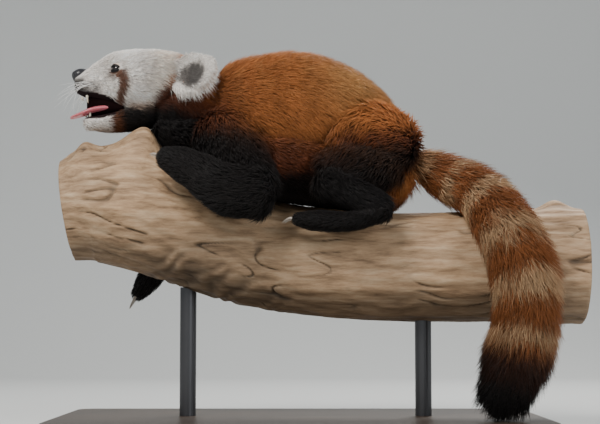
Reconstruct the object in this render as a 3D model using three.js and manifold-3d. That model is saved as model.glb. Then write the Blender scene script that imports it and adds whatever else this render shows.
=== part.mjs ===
// A life-size red panda, still, draped over a cut length of thick branch on a plain display stand.
// Millimetres, +Z up. The animal faces -X, its left side faces -Y, and the origin is the middle of
// the stand's underside. The coat's long locks are solids on the body, neck, cheeks, ears and legs,
// and the tail is one smooth form out to the tips of its hair.
import * as THREE from "three";
import { mergeVertices } from "three/addons/utils/BufferGeometryUtils.js";
import Module from "manifold-3d";

const wasm = await Module();
wasm.setup();

// Driving dimensions
const gap = 0.3;
const shortEdge = 0.03;
const baseLength = 640;
const baseWidth = 370;
const baseThick = 16;
const rodRadius = 11;
const rodX = [-150, 165];
const branchMiddle = 216;
const branchRadius = 74;
const headYaw = THREE.MathUtils.degToRad(7);
const headPivot = [-190, 0, 465];
const coatDepth = { torso: 16, neck: 10, leg: 5 };

// Sweep stations: [x, y, z, half width, reach up, reach down]. Half width runs along the side
// direction, the two reaches run along and against the up direction of the section.
const torsoPath = [
  [-120, 0, 412, 64, 66, 62],
  [-72, 0, 418, 86, 90, 84],
  [-16, 0, 412, 97, 102, 92],
  [38, 0, 396, 96, 98, 92],
  [82, 0, 362, 84, 84, 80],
  [108, 0, 330, 62, 60, 56],
];
const neckPath = [
  [-205, 0, 452, 44, 44, 50],
  [-165, 0, 440, 54, 48, 56],
  [-118, 0, 420, 62, 57, 58],
  [-80, 0, 414, 66, 64, 62],
];
const headPath = [
  [-158, 0, 456, 42, 36, 36],
  [-176, 0, 464, 53, 42, 44],
  [-200, 0, 467, 60, 43, 49],
  [-224, 0, 468, 60, 42, 50],
  [-244, 0, 468, 46, 40, 45],
  [-259, 0, 467, 33, 36, 38],
  [-272, 0, 466, 25, 29, 29],
  [-283, 0, 465, 22, 22, 22],
  [-292, 0, 464, 20, 18, 18],
  [-300, 0, 463, 16, 14, 14],
];
const jawPath = [
  [-212, 0, 425, 38, 14, 24],
  [-240, 0, 417, 32, 12, 21],
  [-264, 0, 411, 25, 11, 17],
  [-284, 0, 409, 18, 8, 12],
];
const tonguePath = [
  [-246, -2, 428, 9, 3, 4],
  [-264, -2, 427, 12, 3, 4],
  [-284, -3, 423, 13, 2.5, 3],
  [-298, -4, 418.5, 10.5, 1.8, 2],
  [-307, -4, 415.5, 5, 1.2, 1.2],
];
const nosePath = [
  [-290, 0, 477, 8.5, 7, 7],
  [-297, 0, 475, 11, 8.5, 8],
  [-303, 0, 473, 9, 7, 7],
];
const tailPath = [
  [112, 4, 352, 40, 40, 40],
  [150, 2, 352, 37, 36, 36],
  [192, -8, 336, 41, 39, 38],
  [232, -36, 312, 44, 41, 41],
  [260, -84, 268, 46, 44, 44],
  [279, -118, 214, 47, 47, 47],
  [283, -128, 160, 48, 47, 47],
  [275, -128, 108, 48, 48, 48],
  [262, -128, 68, 42, 42, 42],
];
const branchPath = [
  [-312, 0, 292, 66, 68, 70],
  [-270, 0, 298, 74, 80, 78],
  [-215, -2, 290, 78, 84, 82],
  [-140, 0, 262, 74, 78, 78],
  [-62, 0, 236, 72, 74, 76],
  [0, 0, 222, branchRadius, 75, 72],
  [100, 0, branchMiddle, branchRadius, 73, 74],
  [230, 0, branchMiddle, branchRadius + 1, 73, 75],
  [378, 0, branchMiddle, branchRadius + 3, 78, 78],
];

// Leg chains, left side: shoulder or hip, elbow or knee, wrist or heel, toes.
const leftFore = {
  upper: [
    [-104, -48, 396, 36, 48, 44],
    [-84, -84, 350, 32, 54, 48],
    [-58, -112, 306, 29, 46, 42],
  ],
  lower: [
    [-50, -114, 306, 30, 38, 38],
    [-92, -118, 308, 31, 35, 38],
    [-132, -110, 331, 27, 28, 30],
  ],
  paw: [
    [-130, -110, 330, 26, 26, 27],
    [-152, -106, 342, 27, 24, 25],
    [-172, -99, 350, 22, 18, 19],
  ],
};
const rightFore = {
  upper: [
    [-108, 46, 398, 34, 42, 38],
    [-122, 88, 350, 29, 38, 34],
    [-146, 112, 290, 25, 30, 28],
  ],
  lower: [
    [-144, 112, 296, 27, 30, 28],
    [-172, 112, 256, 24, 25, 25],
    [-200, 106, 222, 22, 22, 22],
  ],
  paw: [
    [-199, 106, 223, 21, 20, 20],
    [-214, 102, 200, 21, 20, 19],
    [-228, 98, 180, 16, 14, 13],
  ],
};
const leftHind = {
  thigh: [
    [104, -42, 362, 42, 56, 50],
    [80, -74, 346, 34, 58, 50],
    [40, -92, 326, 27, 42, 36],
  ],
  shank: [
    [36, -92, 326, 27, 30, 30],
    [68, -98, 306, 25, 26, 26],
    [104, -98, 286, 22, 22, 22],
  ],
  foot: [
    [106, -98, 284, 22, 20, 18],
    [64, -100, 270, 23, 16, 16],
    [22, -98, 270, 23, 16, 16],
    [-2, -96, 272, 18, 12, 12],
  ],
};

const materials = {
  rustCoat: { color: 0x9a4a1c, roughness: 0.85 },
  whiteCoat: { color: 0xe8ddd0, roughness: 0.85 },
  blackCoat: { color: 0x16120f, roughness: 0.8 },
  tailCoat: { color: 0xa3582c, roughness: 0.85 },
  wetSkin: { color: 0x17161a, roughness: 0.35 },
  eye: { color: 0x1c0f08, roughness: 0.08 },
  tongue: { color: 0xc96a78, roughness: 0.4 },
  branchWood: { color: 0xb08d66, roughness: 0.8 },
  standWood: { color: 0x3a2c22, roughness: 0.5 },
  standSteel: { color: 0x2c2d2f, roughness: 0.4, metalness: 0.8 },
};

const group = new THREE.Group();

const vec = (p) => new THREE.Vector3(p[0], p[1], p[2]);

// A section frame at t along a swept path: centre, side, up and the three reaches.
function frameAt(sweep, t) {
  const centre = sweep.line.getPoint(t);
  const along = sweep.line.getTangent(t);
  const side = sweep.hint.clone().addScaledVector(along, -sweep.hint.dot(along)).normalize();
  const up = new THREE.Vector3().crossVectors(side, along).multiplyScalar(sweep.upSign);
  return { centre, along, side, up, reach: sweep.reach.getPoint(t) };
}

// A sweep holds its centre line and its reaches as smooth curves through the stations. The up
// direction follows the z axis where it can, and upTo names another one for steep limbs.
function makeSweep(stations, options = {}) {
  const { hint = [0, 1, 0], upTo = [0, 0, 1], grow = 0, capFirst = 0.8, capLast = 0.8 } = options;
  const line = new THREE.CatmullRomCurve3(stations.map(vec), false, "centripetal");
  const reaches = stations.map((s) => new THREE.Vector3(s[3] + grow, s[4] + grow, s[5] + grow));
  const reach = new THREE.CatmullRomCurve3(reaches, false, "catmullrom", 0.5);
  const sweep = { line, reach, hint: vec(hint), upSign: 1, grow, capFirst, capLast };
  const middle = frameAt(sweep, 0.5);
  sweep.upSign = middle.up.dot(vec(upTo)) < 0 ? -1 : 1;
  return sweep;
}

// A point on the sweep's surface: t runs along it, angle runs round it from the side direction.
function pointOn(sweep, t, angle, scale = 1, shift = 0) {
  const f = frameAt(sweep, t);
  const tall = Math.sin(angle) > 0 ? f.reach.y : f.reach.z;
  return f.centre
    .addScaledVector(f.side, Math.cos(angle) * f.reach.x * scale)
    .addScaledVector(f.up, Math.sin(angle) * tall * scale)
    .addScaledVector(f.along, shift);
}

// The closed surface of a sweep, with a rounded cap of capSteps rings at each end.
function sweepGeometry(sweep, sides, rings, capSteps = 2) {
  const rows = [];
  const capRow = (t, sign, cap, step) => {
    const turn = ((Math.PI / 2) * step) / capSteps;
    const r = frameAt(sweep, t).reach;
    const shift = sign * Math.sin(turn) * cap * Math.min(r.x, (r.y + r.z) / 2);
    return { t, scale: Math.cos(turn), shift };
  };
  for (let i = capSteps; i > 0; i--) rows.push(capRow(0, -1, sweep.capFirst, i));
  for (let i = 0; i <= rings; i++) rows.push({ t: i / rings, scale: 1, shift: 0 });
  for (let i = 1; i <= capSteps; i++) rows.push(capRow(1, 1, sweep.capLast, i));

  const position = [];
  const index = [];
  const pole = (row) => pointOn(sweep, row.t, 0, 0, row.shift);
  position.push(...pole(rows[0]));
  const inner = rows.slice(1, -1);
  for (const row of inner) {
    for (let k = 0; k < sides; k++) {
      position.push(...pointOn(sweep, row.t, (2 * Math.PI * k) / sides, row.scale, row.shift));
    }
  }
  position.push(...pole(rows[rows.length - 1]));
  const last = 1 + inner.length * sides;
  for (let k = 0; k < sides; k++) {
    const next = (k + 1) % sides;
    index.push(0, 1 + next, 1 + k);
    for (let i = 0; i < inner.length - 1; i++) {
      const a = 1 + i * sides;
      const b = a + sides;
      index.push(a + k, a + next, b + k, a + next, b + next, b + k);
    }
    const end = last - sides;
    index.push(end + k, end + next, last);
  }
  const geometry = new THREE.BufferGeometry();
  geometry.setAttribute("position", new THREE.Float32BufferAttribute(position, 3));
  geometry.setIndex(index);
  return geometry;
}

// A closed three.js surface as a solid, turned right side out.
function solidOf(geometry) {
  const bare = geometry.clone();
  bare.deleteAttribute("normal");
  bare.deleteAttribute("uv");
  const merged = mergeVertices(bare, 1e-4);
  const build = (flip) => {
    const triVerts = new Uint32Array(merged.index.array);
    if (flip) {
      for (let i = 0; i < triVerts.length; i += 3) {
        [triVerts[i + 1], triVerts[i + 2]] = [triVerts[i + 2], triVerts[i + 1]];
      }
    }
    const vertProperties = new Float32Array(merged.attributes.position.array);
    return new wasm.Manifold(new wasm.Mesh({ numProp: 3, vertProperties, triVerts }));
  };
  const made = build(false);
  return made.volume() < 0 ? build(true) : made;
}

const sweptSolid = (sweep, sides, rings) => solidOf(sweepGeometry(sweep, sides, rings));

function ellipsoid(at, radii, turn = [0, 0, 0], detail = [16, 10]) {
  const shape = new THREE.SphereGeometry(1, detail[0], detail[1]);
  const turned = new THREE.Quaternion().setFromEuler(new THREE.Euler(...turn));
  shape.applyMatrix4(new THREE.Matrix4().compose(vec(at), turned, vec(radii)));
  return solidOf(shape);
}

// The largest closed surface of a solid, with any sealed hollow filled.
function largest(solid) {
  const bodies = solid.decompose();
  return bodies.reduce((best, b) => (b.volume() > best.volume() ? b : best));
}

// Puts a solid in the group as a named mesh whose geometry is about its own middle.
function addNode(name, solid, material, parent = group) {
  const mesh = largest(solid).simplify(shortEdge).getMesh();
  const geometry = new THREE.BufferGeometry();
  geometry.setAttribute("position", new THREE.Float32BufferAttribute(mesh.vertProperties, 3));
  geometry.setIndex(new THREE.Uint32BufferAttribute(mesh.triVerts, 1));
  geometry.computeBoundingBox();
  const middle = geometry.boundingBox.getCenter(new THREE.Vector3()).round();
  geometry.translate(-middle.x, -middle.y, -middle.z);
  geometry.computeVertexNormals();
  const node = new THREE.Mesh(geometry, new THREE.MeshStandardMaterial(materials[material]));
  node.name = name;
  node.position.copy(middle);
  parent.add(node);
  return node;
}

const minus = (solid, ...cutters) => cutters.reduce((s, c) => s.subtract(c), solid);
const mirrorY = (stations) => stations.map(([x, y, ...rest]) => [x, -y, ...rest]);

// Turns head stations about the neck joint, so that the face looks a little to the animal's left.
function turnHead([x, y, z, ...rest]) {
  const dx = x - headPivot[0];
  const c = Math.cos(headYaw);
  const s = Math.sin(headYaw);
  return [headPivot[0] + dx * c - y * s, y * c + dx * s, z, ...rest];
}

const headSide = turnHead([headPivot[0], 1, 0]).map((v, i) => (i < 2 ? v - headPivot[i] : 0));
const headHint = [headSide[0], headSide[1], 0];

// A body part as a plain solid and as a slightly larger cutter for its neighbours.
function part(stations, sides, rings, options = {}) {
  const sweep = makeSweep(stations, options);
  const grown = makeSweep(stations, { ...options, grow: gap });
  return { sweep, solid: sweptSolid(sweep, sides, rings), cutter: sweptSolid(grown, sides, rings) };
}

// A seeded random number in 0..1 for the small differences between locks
let seed = 7;
function random() {
  seed = (seed * 16807) % 2147483647;
  return seed / 2147483647;
}
const vary = (amount) => 1 + amount * (2 * random() - 1);

// Fractions of a lock's length with its width, thickness and height there, root first, then the tip
const lockRings = [
  { along: 0, wide: 0.62, deep: 1 },
  { along: 0.46, wide: 1, deep: 0.85 },
];

// How much further than a plain offset a lock's thin edges, ridge and tip move when it is grown
const edgeGrowth = 7;
const ridgeGrowth = 1.6;
const tipGrowth = 6;

// One flat, tapered lock as a closed solid. It holds the points on its line and the outward
// directions there. Its sections are low triangles, rolled so that the edges of two overlap.
function lockSolid({ spots, outs, width, thick, roll }, grow) {
  const at = spots.map((p) => p.clone());
  const push = (from, to, by) => to.addScaledVector(to.clone().sub(from).normalize(), by);
  push(spots[1], at[2], grow * tipGrowth);
  push(spots[1], at[0], grow);
  const position = [];
  lockRings.forEach(({ wide, deep }, i) => {
    const lie = spots[i + 1].clone().sub(spots[i]).normalize();
    const face = outs[i].clone().addScaledVector(lie, -outs[i].dot(lie)).normalize();
    face.applyAxisAngle(lie, roll);
    const side = new THREE.Vector3().crossVectors(face, lie);
    const w = (width * wide) / 2 + grow * edgeGrowth;
    const below = (thick * deep) / 2 + grow;
    const above = (thick * deep) / 2 + grow * ridgeGrowth;
    position.push(...at[i].clone().addScaledVector(side, w).addScaledVector(face, -below));
    position.push(...at[i].clone().addScaledVector(face, above));
    position.push(...at[i].clone().addScaledVector(side, -w).addScaledVector(face, -below));
  });
  position.push(...at[2]);
  const index = [0, 1, 2];
  for (let k = 0; k < 3; k++) {
    const next = (k + 1) % 3;
    index.push(k, k + 3, next, next, k + 3, next + 3, k + 3, 6, next + 3);
  }
  const geometry = new THREE.BufferGeometry();
  geometry.setAttribute("position", new THREE.Float32BufferAttribute(position, 3));
  geometry.setIndex(index);
  return solidOf(geometry);
}

// A point on a sweep and the outward direction there. Past t = 1 it goes on over the rounded end,
// then straight on.
function surfaceAt(sweep, t, angle, height) {
  const inside = Math.min(Math.max(t, 0), 1);
  const f = frameAt(sweep, inside);
  const tall = Math.sin(angle) > 0 ? f.reach.y : f.reach.z;
  const out = f.side.clone().multiplyScalar(Math.cos(angle) / f.reach.x);
  out.addScaledVector(f.up, Math.sin(angle) / tall).normalize();
  const over = (t - inside) * sweep.line.getLength();
  const cap = Math.min(f.reach.x, (f.reach.y + f.reach.z) / 2) * sweep.capLast;
  const turn = Math.min(Math.abs(over) / cap, 0.9);
  const shift = Math.sign(over) * (Math.sin(turn) * cap + Math.max(0, Math.abs(over) - turn * cap));
  out.multiplyScalar(Math.cos(turn)).addScaledVector(f.along, Math.sign(over) * Math.sin(turn));
  const point = pointOn(sweep, inside, angle, Math.cos(turn), shift).addScaledVector(out, height);
  return { point, out };
}

// Rows of locks on a sweep, each row set half a lock round from the last. Arc is the range of angle
// that they cover, against turns them towards the sweep's start, and droop turns them downwards.
function locksOn(sweep, o) {
  const list = [];
  const [start, end] = o.arc ?? [0, 2 * Math.PI];
  const whole = sweep.line.getLength();
  for (let i = 0; i < o.rows; i++) {
    const t = o.from + ((o.to - o.from) * i) / Math.max(1, o.rows - 1);
    for (let k = 0; k < o.around; k++) {
      const place = (k + (i % 2 ? 0.5 : 0) + 0.15 * (random() - 0.5)) / o.around;
      const angle = start + (end - start) * place;
      const reach = frameAt(sweep, Math.min(t, 1)).reach;
      const length = o.length * vary(0.14);
      const stand = o.stand * vary(0.15);
      const twist = (-Math.cos(angle) * (o.droop ?? 0) + 0.24 * (random() - 0.5)) * length;
      const step = ((o.against ? -1 : 1) * length) / whole;
      const line = [0, 0.46, 1].map((s, j) => {
        const height = [-o.thick - 2, stand * 0.72, stand][j];
        return surfaceAt(sweep, t + step * s, angle + (twist * s) / reach.x, height);
      });
      list.push({
        t,
        spots: line.map((p) => p.point),
        outs: line.map((p) => p.out),
        width: o.width * vary(0.1),
        thick: o.thick,
        roll: 0.24,
      });
    }
  }
  return list;
}

const joined = (solids) => wasm.Manifold.union(solids);

// Branch with the knob that the throat rests against and a healed burl at the right
function makeBranch(grow) {
  const log = sweptSolid(makeSweep(branchPath, { capFirst: 0.04, capLast: 0.04, grow }), 16, 11);
  const g = grow;
  const knob = ellipsoid([-214, -26, 358], [34 + g, 34 + g, 42 + g], [0, 0.35, 0], [10, 6]);
  const burl = ellipsoid([344, 6, 286], [26 + g, 30 + g, 16 + g], [0, -0.1, 0], [10, 5]);
  const stub = ellipsoid([-286, -30, 356], [15 + g, 15 + g, 20 + g], [0, -0.3, 0], [8, 5]);
  return log.add(knob).add(burl).add(stub);
}
const branch = makeBranch(0);
const branchCutter = makeBranch(gap);

// Display stand: a flat base and two rods that end under the branch
function roundedPlate(length, width, thick, corner) {
  const x = length / 2 - corner;
  const y = width / 2 - corner;
  const outline = new THREE.Shape();
  outline.absarc(x, y, corner, 0, Math.PI / 2);
  outline.absarc(-x, y, corner, Math.PI / 2, Math.PI);
  outline.absarc(-x, -y, corner, Math.PI, 1.5 * Math.PI);
  outline.absarc(x, -y, corner, 1.5 * Math.PI, 2 * Math.PI);
  return new THREE.ExtrudeGeometry(outline, { depth: thick, bevelEnabled: false, curveSegments: 6 });
}
addNode("stand_base", solidOf(roundedPlate(baseLength, baseWidth, baseThick, 24)), "standWood");
rodX.forEach((x, i) => {
  const foot = baseThick + gap;
  const height = branchMiddle - foot;
  const rod = new THREE.CylinderGeometry(rodRadius, rodRadius, height, 24);
  rod.rotateX(Math.PI / 2);
  rod.translate(x, 0, foot + height / 2);
  const side = i === 0 ? "left_end" : "right_end";
  addNode("stand_rod_" + side, minus(solidOf(rod), branchCutter), "standSteel");
});
addNode("perch", branch, "branchWood");

// The animal's pieces in the order in which they keep their shape. Each has a core, a cutter that
// is a gap larger, and the locks that grow from it.
const pieces = [];
const addPiece = (name, look, made, locks = []) => pieces.push({ name, look, ...made, locks });

function coatPart(stations, sides, rings, depth, options = {}) {
  const thinner = stations.map((s) => [...s.slice(0, 3), s[3] - depth, s[4] - depth, s[5] - depth]);
  return part(thinner, sides, rings, options);
}

const torso = coatPart(torsoPath, 18, 8, coatDepth.torso, { capFirst: 0.5, capLast: 0.7 });
const torsoLocks = [
  ...locksOn(torso.sweep, {
    rows: 6, around: 8, from: 0, to: 1.02, arc: [-0.6, Math.PI + 0.6],
    length: 90, width: 54, thick: 7, stand: 17, droop: 0.35,
  }),
];
addPiece("torso", "rustCoat", torso, torsoLocks);

// Head: eyes sit in sockets between lids, and the mouth is open between muzzle and lower jaw.
const eyeRadius = 7.2;
const lidThick = 1.9;
const eyeAt = (side, out = 0) => turnHead([-250 - out * 0.5, side * (35 + out), 477]);
const ball = (side, radius) => ellipsoid(eyeAt(side), Array(3).fill(radius), [0, 0, 0], [10, 6]);
function lids(side) {
  const slot = ellipsoid(eyeAt(side, 7), [8.5, 9, 2.6], [0, 0.35, side * 0.45], [8, 6]);
  return minus(ball(side, eyeRadius + lidThick), slot);
}
const mouthCut = sweptSolid(
  makeSweep(
    [
      [-246, 0, 432, 20, 8, 12],
      [-262, 0, 436, 21, 12, 16],
      [-282, 0, 440, 15, 10, 20],
    ].map(turnHead),
    { hint: headHint, capFirst: 0.5, capLast: 0.3 },
  ),
  10,
  4,
);
const turned = { hint: headHint };
const noseWhole = part(nosePath.map(turnHead), 10, 3, { ...turned, capFirst: 0.5, capLast: 0.5 });
const nostril = (side) => ellipsoid(turnHead([-308, side * 5, 473]), [6, 2.4, 2.6], [0, 0, headYaw], [8, 5]);
const nose = { ...noseWhole, solid: minus(noseWhole.solid, nostril(-1), nostril(1)) };
const head = part(headPath.map(turnHead), 18, 11, { ...turned, capFirst: 0.5, capLast: 0.35 });
const sockets = [ball(-1, eyeRadius + gap), ball(1, eyeRadius + gap)];
const headWhole = joined([head.solid, lids(-1), lids(1)]);
const headSolid = minus(headWhole, mouthCut, nose.cutter, ...sockets);
const headCutter = joined([head.cutter, ball(-1, eyeRadius + lidThick), ball(1, eyeRadius + lidThick)]);
const cheekLocks = [-1, 1].flatMap((side) =>
  locksOn(head.sweep, {
    rows: 2, around: 4, from: 0.1, to: 0.28,
    arc: side < 0 ? [Math.PI - 0.25, Math.PI + 1.25] : [-1.25, 0.25],
    against: true, length: 32, width: 19, thick: 4.5, stand: 7, droop: 0.45,
  }),
);
addPiece("head", "whiteCoat", { solid: headSolid, cutter: headCutter }, cheekLocks);

const neck = coatPart(neckPath, 12, 4, coatDepth.neck, { capFirst: 0.3, capLast: 0.3 });
const neckLocks = locksOn(neck.sweep, {
  rows: 2, around: 7, from: 0.3, to: 0.65,
  length: 46, width: 36, thick: 6, stand: 10, droop: 0.35,
});
addPiece("neck", "rustCoat", neck, neckLocks);

const jaw = part(jawPath.map(turnHead), 10, 4, { ...turned, capFirst: 0.5, capLast: 0.6 });
const tongue = part(tonguePath.map(turnHead), 8, 4, turned);
addPiece("lower_jaw", "whiteCoat", { ...jaw, solid: minus(jaw.solid, tongue.cutter) });

// Ears: a leaf-shaped shell with a hollow cup that faces out and forward, fringed below.
function earSweep(side, grow = 0) {
  const stations = [
    [-177, side * 47, 471, 22, 10, 9],
    [-159, side * 61, 470, 28, 11, 9],
    [-141, side * 71, 474, 23, 9, 7],
    [-124, side * 77, 480, 9, 5, 4],
  ];
  const options = { hint: [0.35, 0, 1], upTo: [0, side, 0], capFirst: 0.2, capLast: 0.8, grow };
  return makeSweep(stations.map(turnHead), options);
}
function earCup(side) {
  const at = turnHead([-156, side * 72, 470]);
  return ellipsoid(at, [18, 9, 18], [0, 0, -side * 0.5], [10, 6]);
}
function earFringe(side) {
  const down = new THREE.Vector3(0.25, side * 0.12, -1).normalize();
  const out = new THREE.Vector3(-0.2, side, 0).cross(down).cross(down).multiplyScalar(-1).normalize();
  return [0, 1, 2, 3].map((i) => {
    const root = vec(turnHead([-177 + i * 11, side * (58 + i * 5), 450 + i * 2]));
    const length = 30 - i * 3;
    const spots = [0, 0.46, 1].map((s, j) =>
      root.clone().addScaledVector(down, s * length).addScaledVector(out, [-4, 2, 3][j]),
    );
    return { spots, outs: [out, out, out], width: 12, thick: 3.5, roll: 0.2 };
  });
}
[
  ["ear_left", -1],
  ["ear_right", 1],
].forEach(([name, side]) => {
  const solid = minus(sweptSolid(earSweep(side), 12, 5), earCup(side));
  const cutter = sweptSolid(earSweep(side, gap), 12, 5);
  addPiece(name, "whiteCoat", { solid, cutter }, earFringe(side));
});

// Legs: each length is cut clear of the body, the branch and the length above it.
const legCoat = {
  upper: { rows: 2, around: 5, length: 50, width: 36, thick: 6, stand: 8, droop: 0.2 },
  thigh: { rows: 2, around: 6, length: 54, width: 38, thick: 6, stand: 9, droop: 0.3 },
};
function addLeg(name, leg, options, looks) {
  for (const [key, stations] of Object.entries(leg)) {
    const coat = legCoat[key];
    const cap = { capFirst: 0.7, capLast: 0.7, ...options };
    const made = coatPart(stations, 12, 3, coat ? coatDepth.leg : 0, cap);
    const locks = coat ? locksOn(made.sweep, { from: 0.1, to: 0.75, ...coat }) : [];
    addPiece(name + "_" + key, looks[key], made, locks);
  }
}
const foreLooks = { upper: "blackCoat", lower: "blackCoat", paw: "blackCoat" };
const hindLooks = { thigh: "rustCoat", shank: "blackCoat", foot: "blackCoat" };
const steep = { upTo: [-1, 0, 0] };
const rightHind = Object.fromEntries(Object.entries(leftHind).map(([k, s]) => [k, mirrorY(s)]));
addLeg("foreleg_left", leftFore, steep, foreLooks);
addLeg("foreleg_right", rightFore, steep, foreLooks);
addLeg("hindleg_left", leftHind, {}, hindLooks);
addLeg("hindleg_right", rightHind, {}, hindLooks);

// Tail: one smooth sweep out to the tips of its hair, parted into lengths by planes across it.
const tailCuts = [0.26, 0.5, 0.75];
const tailNames = ["tail_base", "tail_middle", "tail_lower", "tail_tip"];
const tail = part(tailPath, 18, 20, { capFirst: 0.5, capLast: 0.9 });
function trimAcross(solid, t, keepAfter, slack) {
  const f = frameAt(tail.sweep, t);
  const normal = f.along.multiplyScalar(keepAfter ? 1 : -1);
  return solid.trimByPlane([normal.x, normal.y, normal.z], normal.dot(f.centre) + slack);
}
tailNames.forEach((name, i) => {
  const from = i === 0 ? -1 : tailCuts[i - 1];
  const to = i < tailCuts.length ? tailCuts[i] : 2;
  const cutBoth = (solid, slack) => {
    const upper = from < 0 ? solid : trimAcross(solid, from, true, slack);
    return to > 1 ? upper : trimAcross(upper, to, false, slack);
  };
  const made = { solid: cutBoth(tail.solid, gap / 2), cutter: cutBoth(tail.cutter, -gap / 2) };
  addPiece(name, "tailCoat", made);
});

// Locks are cut clear of later cores and of earlier locks, join their core, and the whole is then
// cut clear of the earlier cores.
const stand = solidOf(roundedPlate(baseLength + 2 * gap, baseWidth + 2 * gap, baseThick + gap, 24));
const eyeBalls = [ball(-1, eyeRadius + lidThick), ball(1, eyeRadius + lidThick)];
const lockCutters = [stand, nose.cutter, tongue.cutter, ...eyeBalls];
pieces.forEach(({ name, look, solid, locks }, i) => {
  const earlier = pieces.slice(0, i).map((p) => p.cutter);
  const later = pieces.slice(i + 1).map((p) => p.cutter);
  let whole = solid;
  if (locks.length > 0) {
    const coat = joined(locks.map((lock) => lockSolid(lock, 0)));
    whole = joined([solid, minus(coat, ...lockCutters, ...later)]);
    lockCutters.push(joined(locks.map((lock) => lockSolid(lock, gap))));
  }
  addNode(name, minus(whole, branchCutter, ...earlier), look);
});
addNode("nose", nose.solid, "wetSkin");
addNode("eye_left", ball(-1, eyeRadius), "eye");
addNode("eye_right", ball(1, eyeRadius), "eye");
addNode("tongue", minus(tongue.solid, headCutter), "tongue");

export default group;
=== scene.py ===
import math
import bpy
import numpy as np
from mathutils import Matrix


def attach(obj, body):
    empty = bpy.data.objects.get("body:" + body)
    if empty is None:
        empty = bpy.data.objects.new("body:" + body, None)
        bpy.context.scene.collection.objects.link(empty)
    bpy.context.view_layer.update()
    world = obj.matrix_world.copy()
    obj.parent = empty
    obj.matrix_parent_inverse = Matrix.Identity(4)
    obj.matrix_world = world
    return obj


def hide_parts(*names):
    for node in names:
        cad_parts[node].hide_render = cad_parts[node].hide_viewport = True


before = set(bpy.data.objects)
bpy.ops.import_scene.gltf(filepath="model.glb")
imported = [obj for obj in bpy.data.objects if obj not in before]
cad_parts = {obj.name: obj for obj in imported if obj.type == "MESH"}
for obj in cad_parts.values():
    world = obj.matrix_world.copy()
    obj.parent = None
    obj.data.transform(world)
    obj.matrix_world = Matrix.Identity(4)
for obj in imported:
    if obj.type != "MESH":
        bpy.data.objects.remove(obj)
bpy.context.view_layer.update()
scene = bpy.context.scene
mm = 0.001
print("frame loaded")

# Stations follow the part's: [x, y, z, half width, reach up, reach down] in millimetres. The chest,
# belly and hips are added here, and the muzzle and tongue are thicker than the part's.
# depth is how far the skin lies under the tips of the coat, flow is which way the hair runs.
headTurn = math.radians(7)
headPivot = (-190, 0, 465)


def turnHead(rows):
    # each point turned about the neck's upright axis by the head's angle
    rows = np.array(rows, float)
    dx = rows[:, 0] - headPivot[0]
    y = rows[:, 1].copy()
    rows[:, 0] = headPivot[0] + dx * math.cos(headTurn) - y * math.sin(headTurn)
    rows[:, 1] = y * math.cos(headTurn) + dx * math.sin(headTurn)
    return rows


def mirrored(rows):
    # the same rows on the animal's other side
    rows = np.array(rows, float)
    rows[:, 1] *= -1
    return rows


headHint = (-math.sin(headTurn), math.cos(headTurn), 0)  # sideways in the head
steepUp = (-1, 0, 0)  # up, where a foreleg hangs steeply

bodyPaths = {
    "torso": dict(depth=15, flow=1, capFirst=0.5, capLast=0.7, stations=[
        [-120, 0, 412, 64, 63, 62], [-72, 0, 418, 86, 87, 84], [-16, 0, 412, 97, 102, 92],
        [38, 0, 396, 96, 98, 92], [82, 0, 362, 84, 84, 80], [108, 0, 330, 62, 60, 56]]),
    "neck": dict(depth=10, flow=1, capFirst=0.3, capLast=0.3, stations=[
        [-205, 0, 452, 44, 44, 50], [-165, 0, 440, 54, 48, 56],
        [-118, 0, 420, 62, 57, 58], [-80, 0, 414, 66, 64, 62]]),
    "head": dict(depth=3.5, flow=-1, hint=headHint, capFirst=0.5, capLast=0.35, stations=turnHead([
        [-158, 0, 456, 42, 36, 36], [-176, 0, 464, 53, 42, 44], [-200, 0, 467, 60, 43, 49],
        [-224, 0, 468, 60, 42, 50], [-244, 0, 468, 46, 40, 45], [-259, 0, 467, 33, 36, 38],
        [-272, 0, 466, 26, 29, 32], [-283, 0, 465, 24, 23, 28], [-292, 0, 464, 22, 18, 25],
        [-301, 0, 463, 17, 14, 20]])),
    "jaw": dict(depth=3, flow=-1, hint=headHint, capFirst=0.5, capLast=0.6, stations=turnHead([
        [-212, 0, 425, 38, 14, 24], [-240, 0, 417, 32, 12, 21],
        [-264, 0, 412, 26, 11, 17], [-288, 0, 411, 19, 8, 13]])),
    "tail": dict(depth=20, flow=1, capFirst=0.5, capLast=0.9, stations=[
        [112, 4, 352, 40, 40, 40], [150, 2, 352, 37, 36, 36], [192, -8, 336, 41, 39, 38],
        [232, -36, 312, 44, 41, 41], [260, -84, 268, 46, 44, 44], [279, -118, 214, 47, 47, 47],
        [283, -128, 160, 48, 47, 47], [275, -128, 108, 48, 48, 48], [262, -128, 68, 42, 42, 42]]),
}
bodyPaths["chest_upper"] = dict(depth=8, flow=1, capFirst=0.6, capLast=0.5, stations=[
    [-184, -6, 402, 34, 30, 28], [-146, -12, 392, 48, 38, 44], [-104, -10, 388, 56, 50, 42]])
bodyPaths["belly_upper"] = dict(depth=6, flow=1, capFirst=0.6, capLast=0.6, stations=[
    [-70, -8, 372, 70, 36, 60], [-16, -10, 366, 80, 36, 66],
    [40, -10, 356, 80, 36, 62], [84, -8, 346, 66, 36, 52]])
leftHip = [[122, -26, 372, 48, 46, 40], [88, -50, 386, 48, 50, 44], [52, -64, 370, 40, 46, 42]]
bodyPaths["hipLeft_thigh"] = dict(depth=9, flow=1, stations=leftHip)
bodyPaths["hipRight_thigh"] = dict(depth=9, flow=1, stations=mirrored(leftHip))
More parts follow.
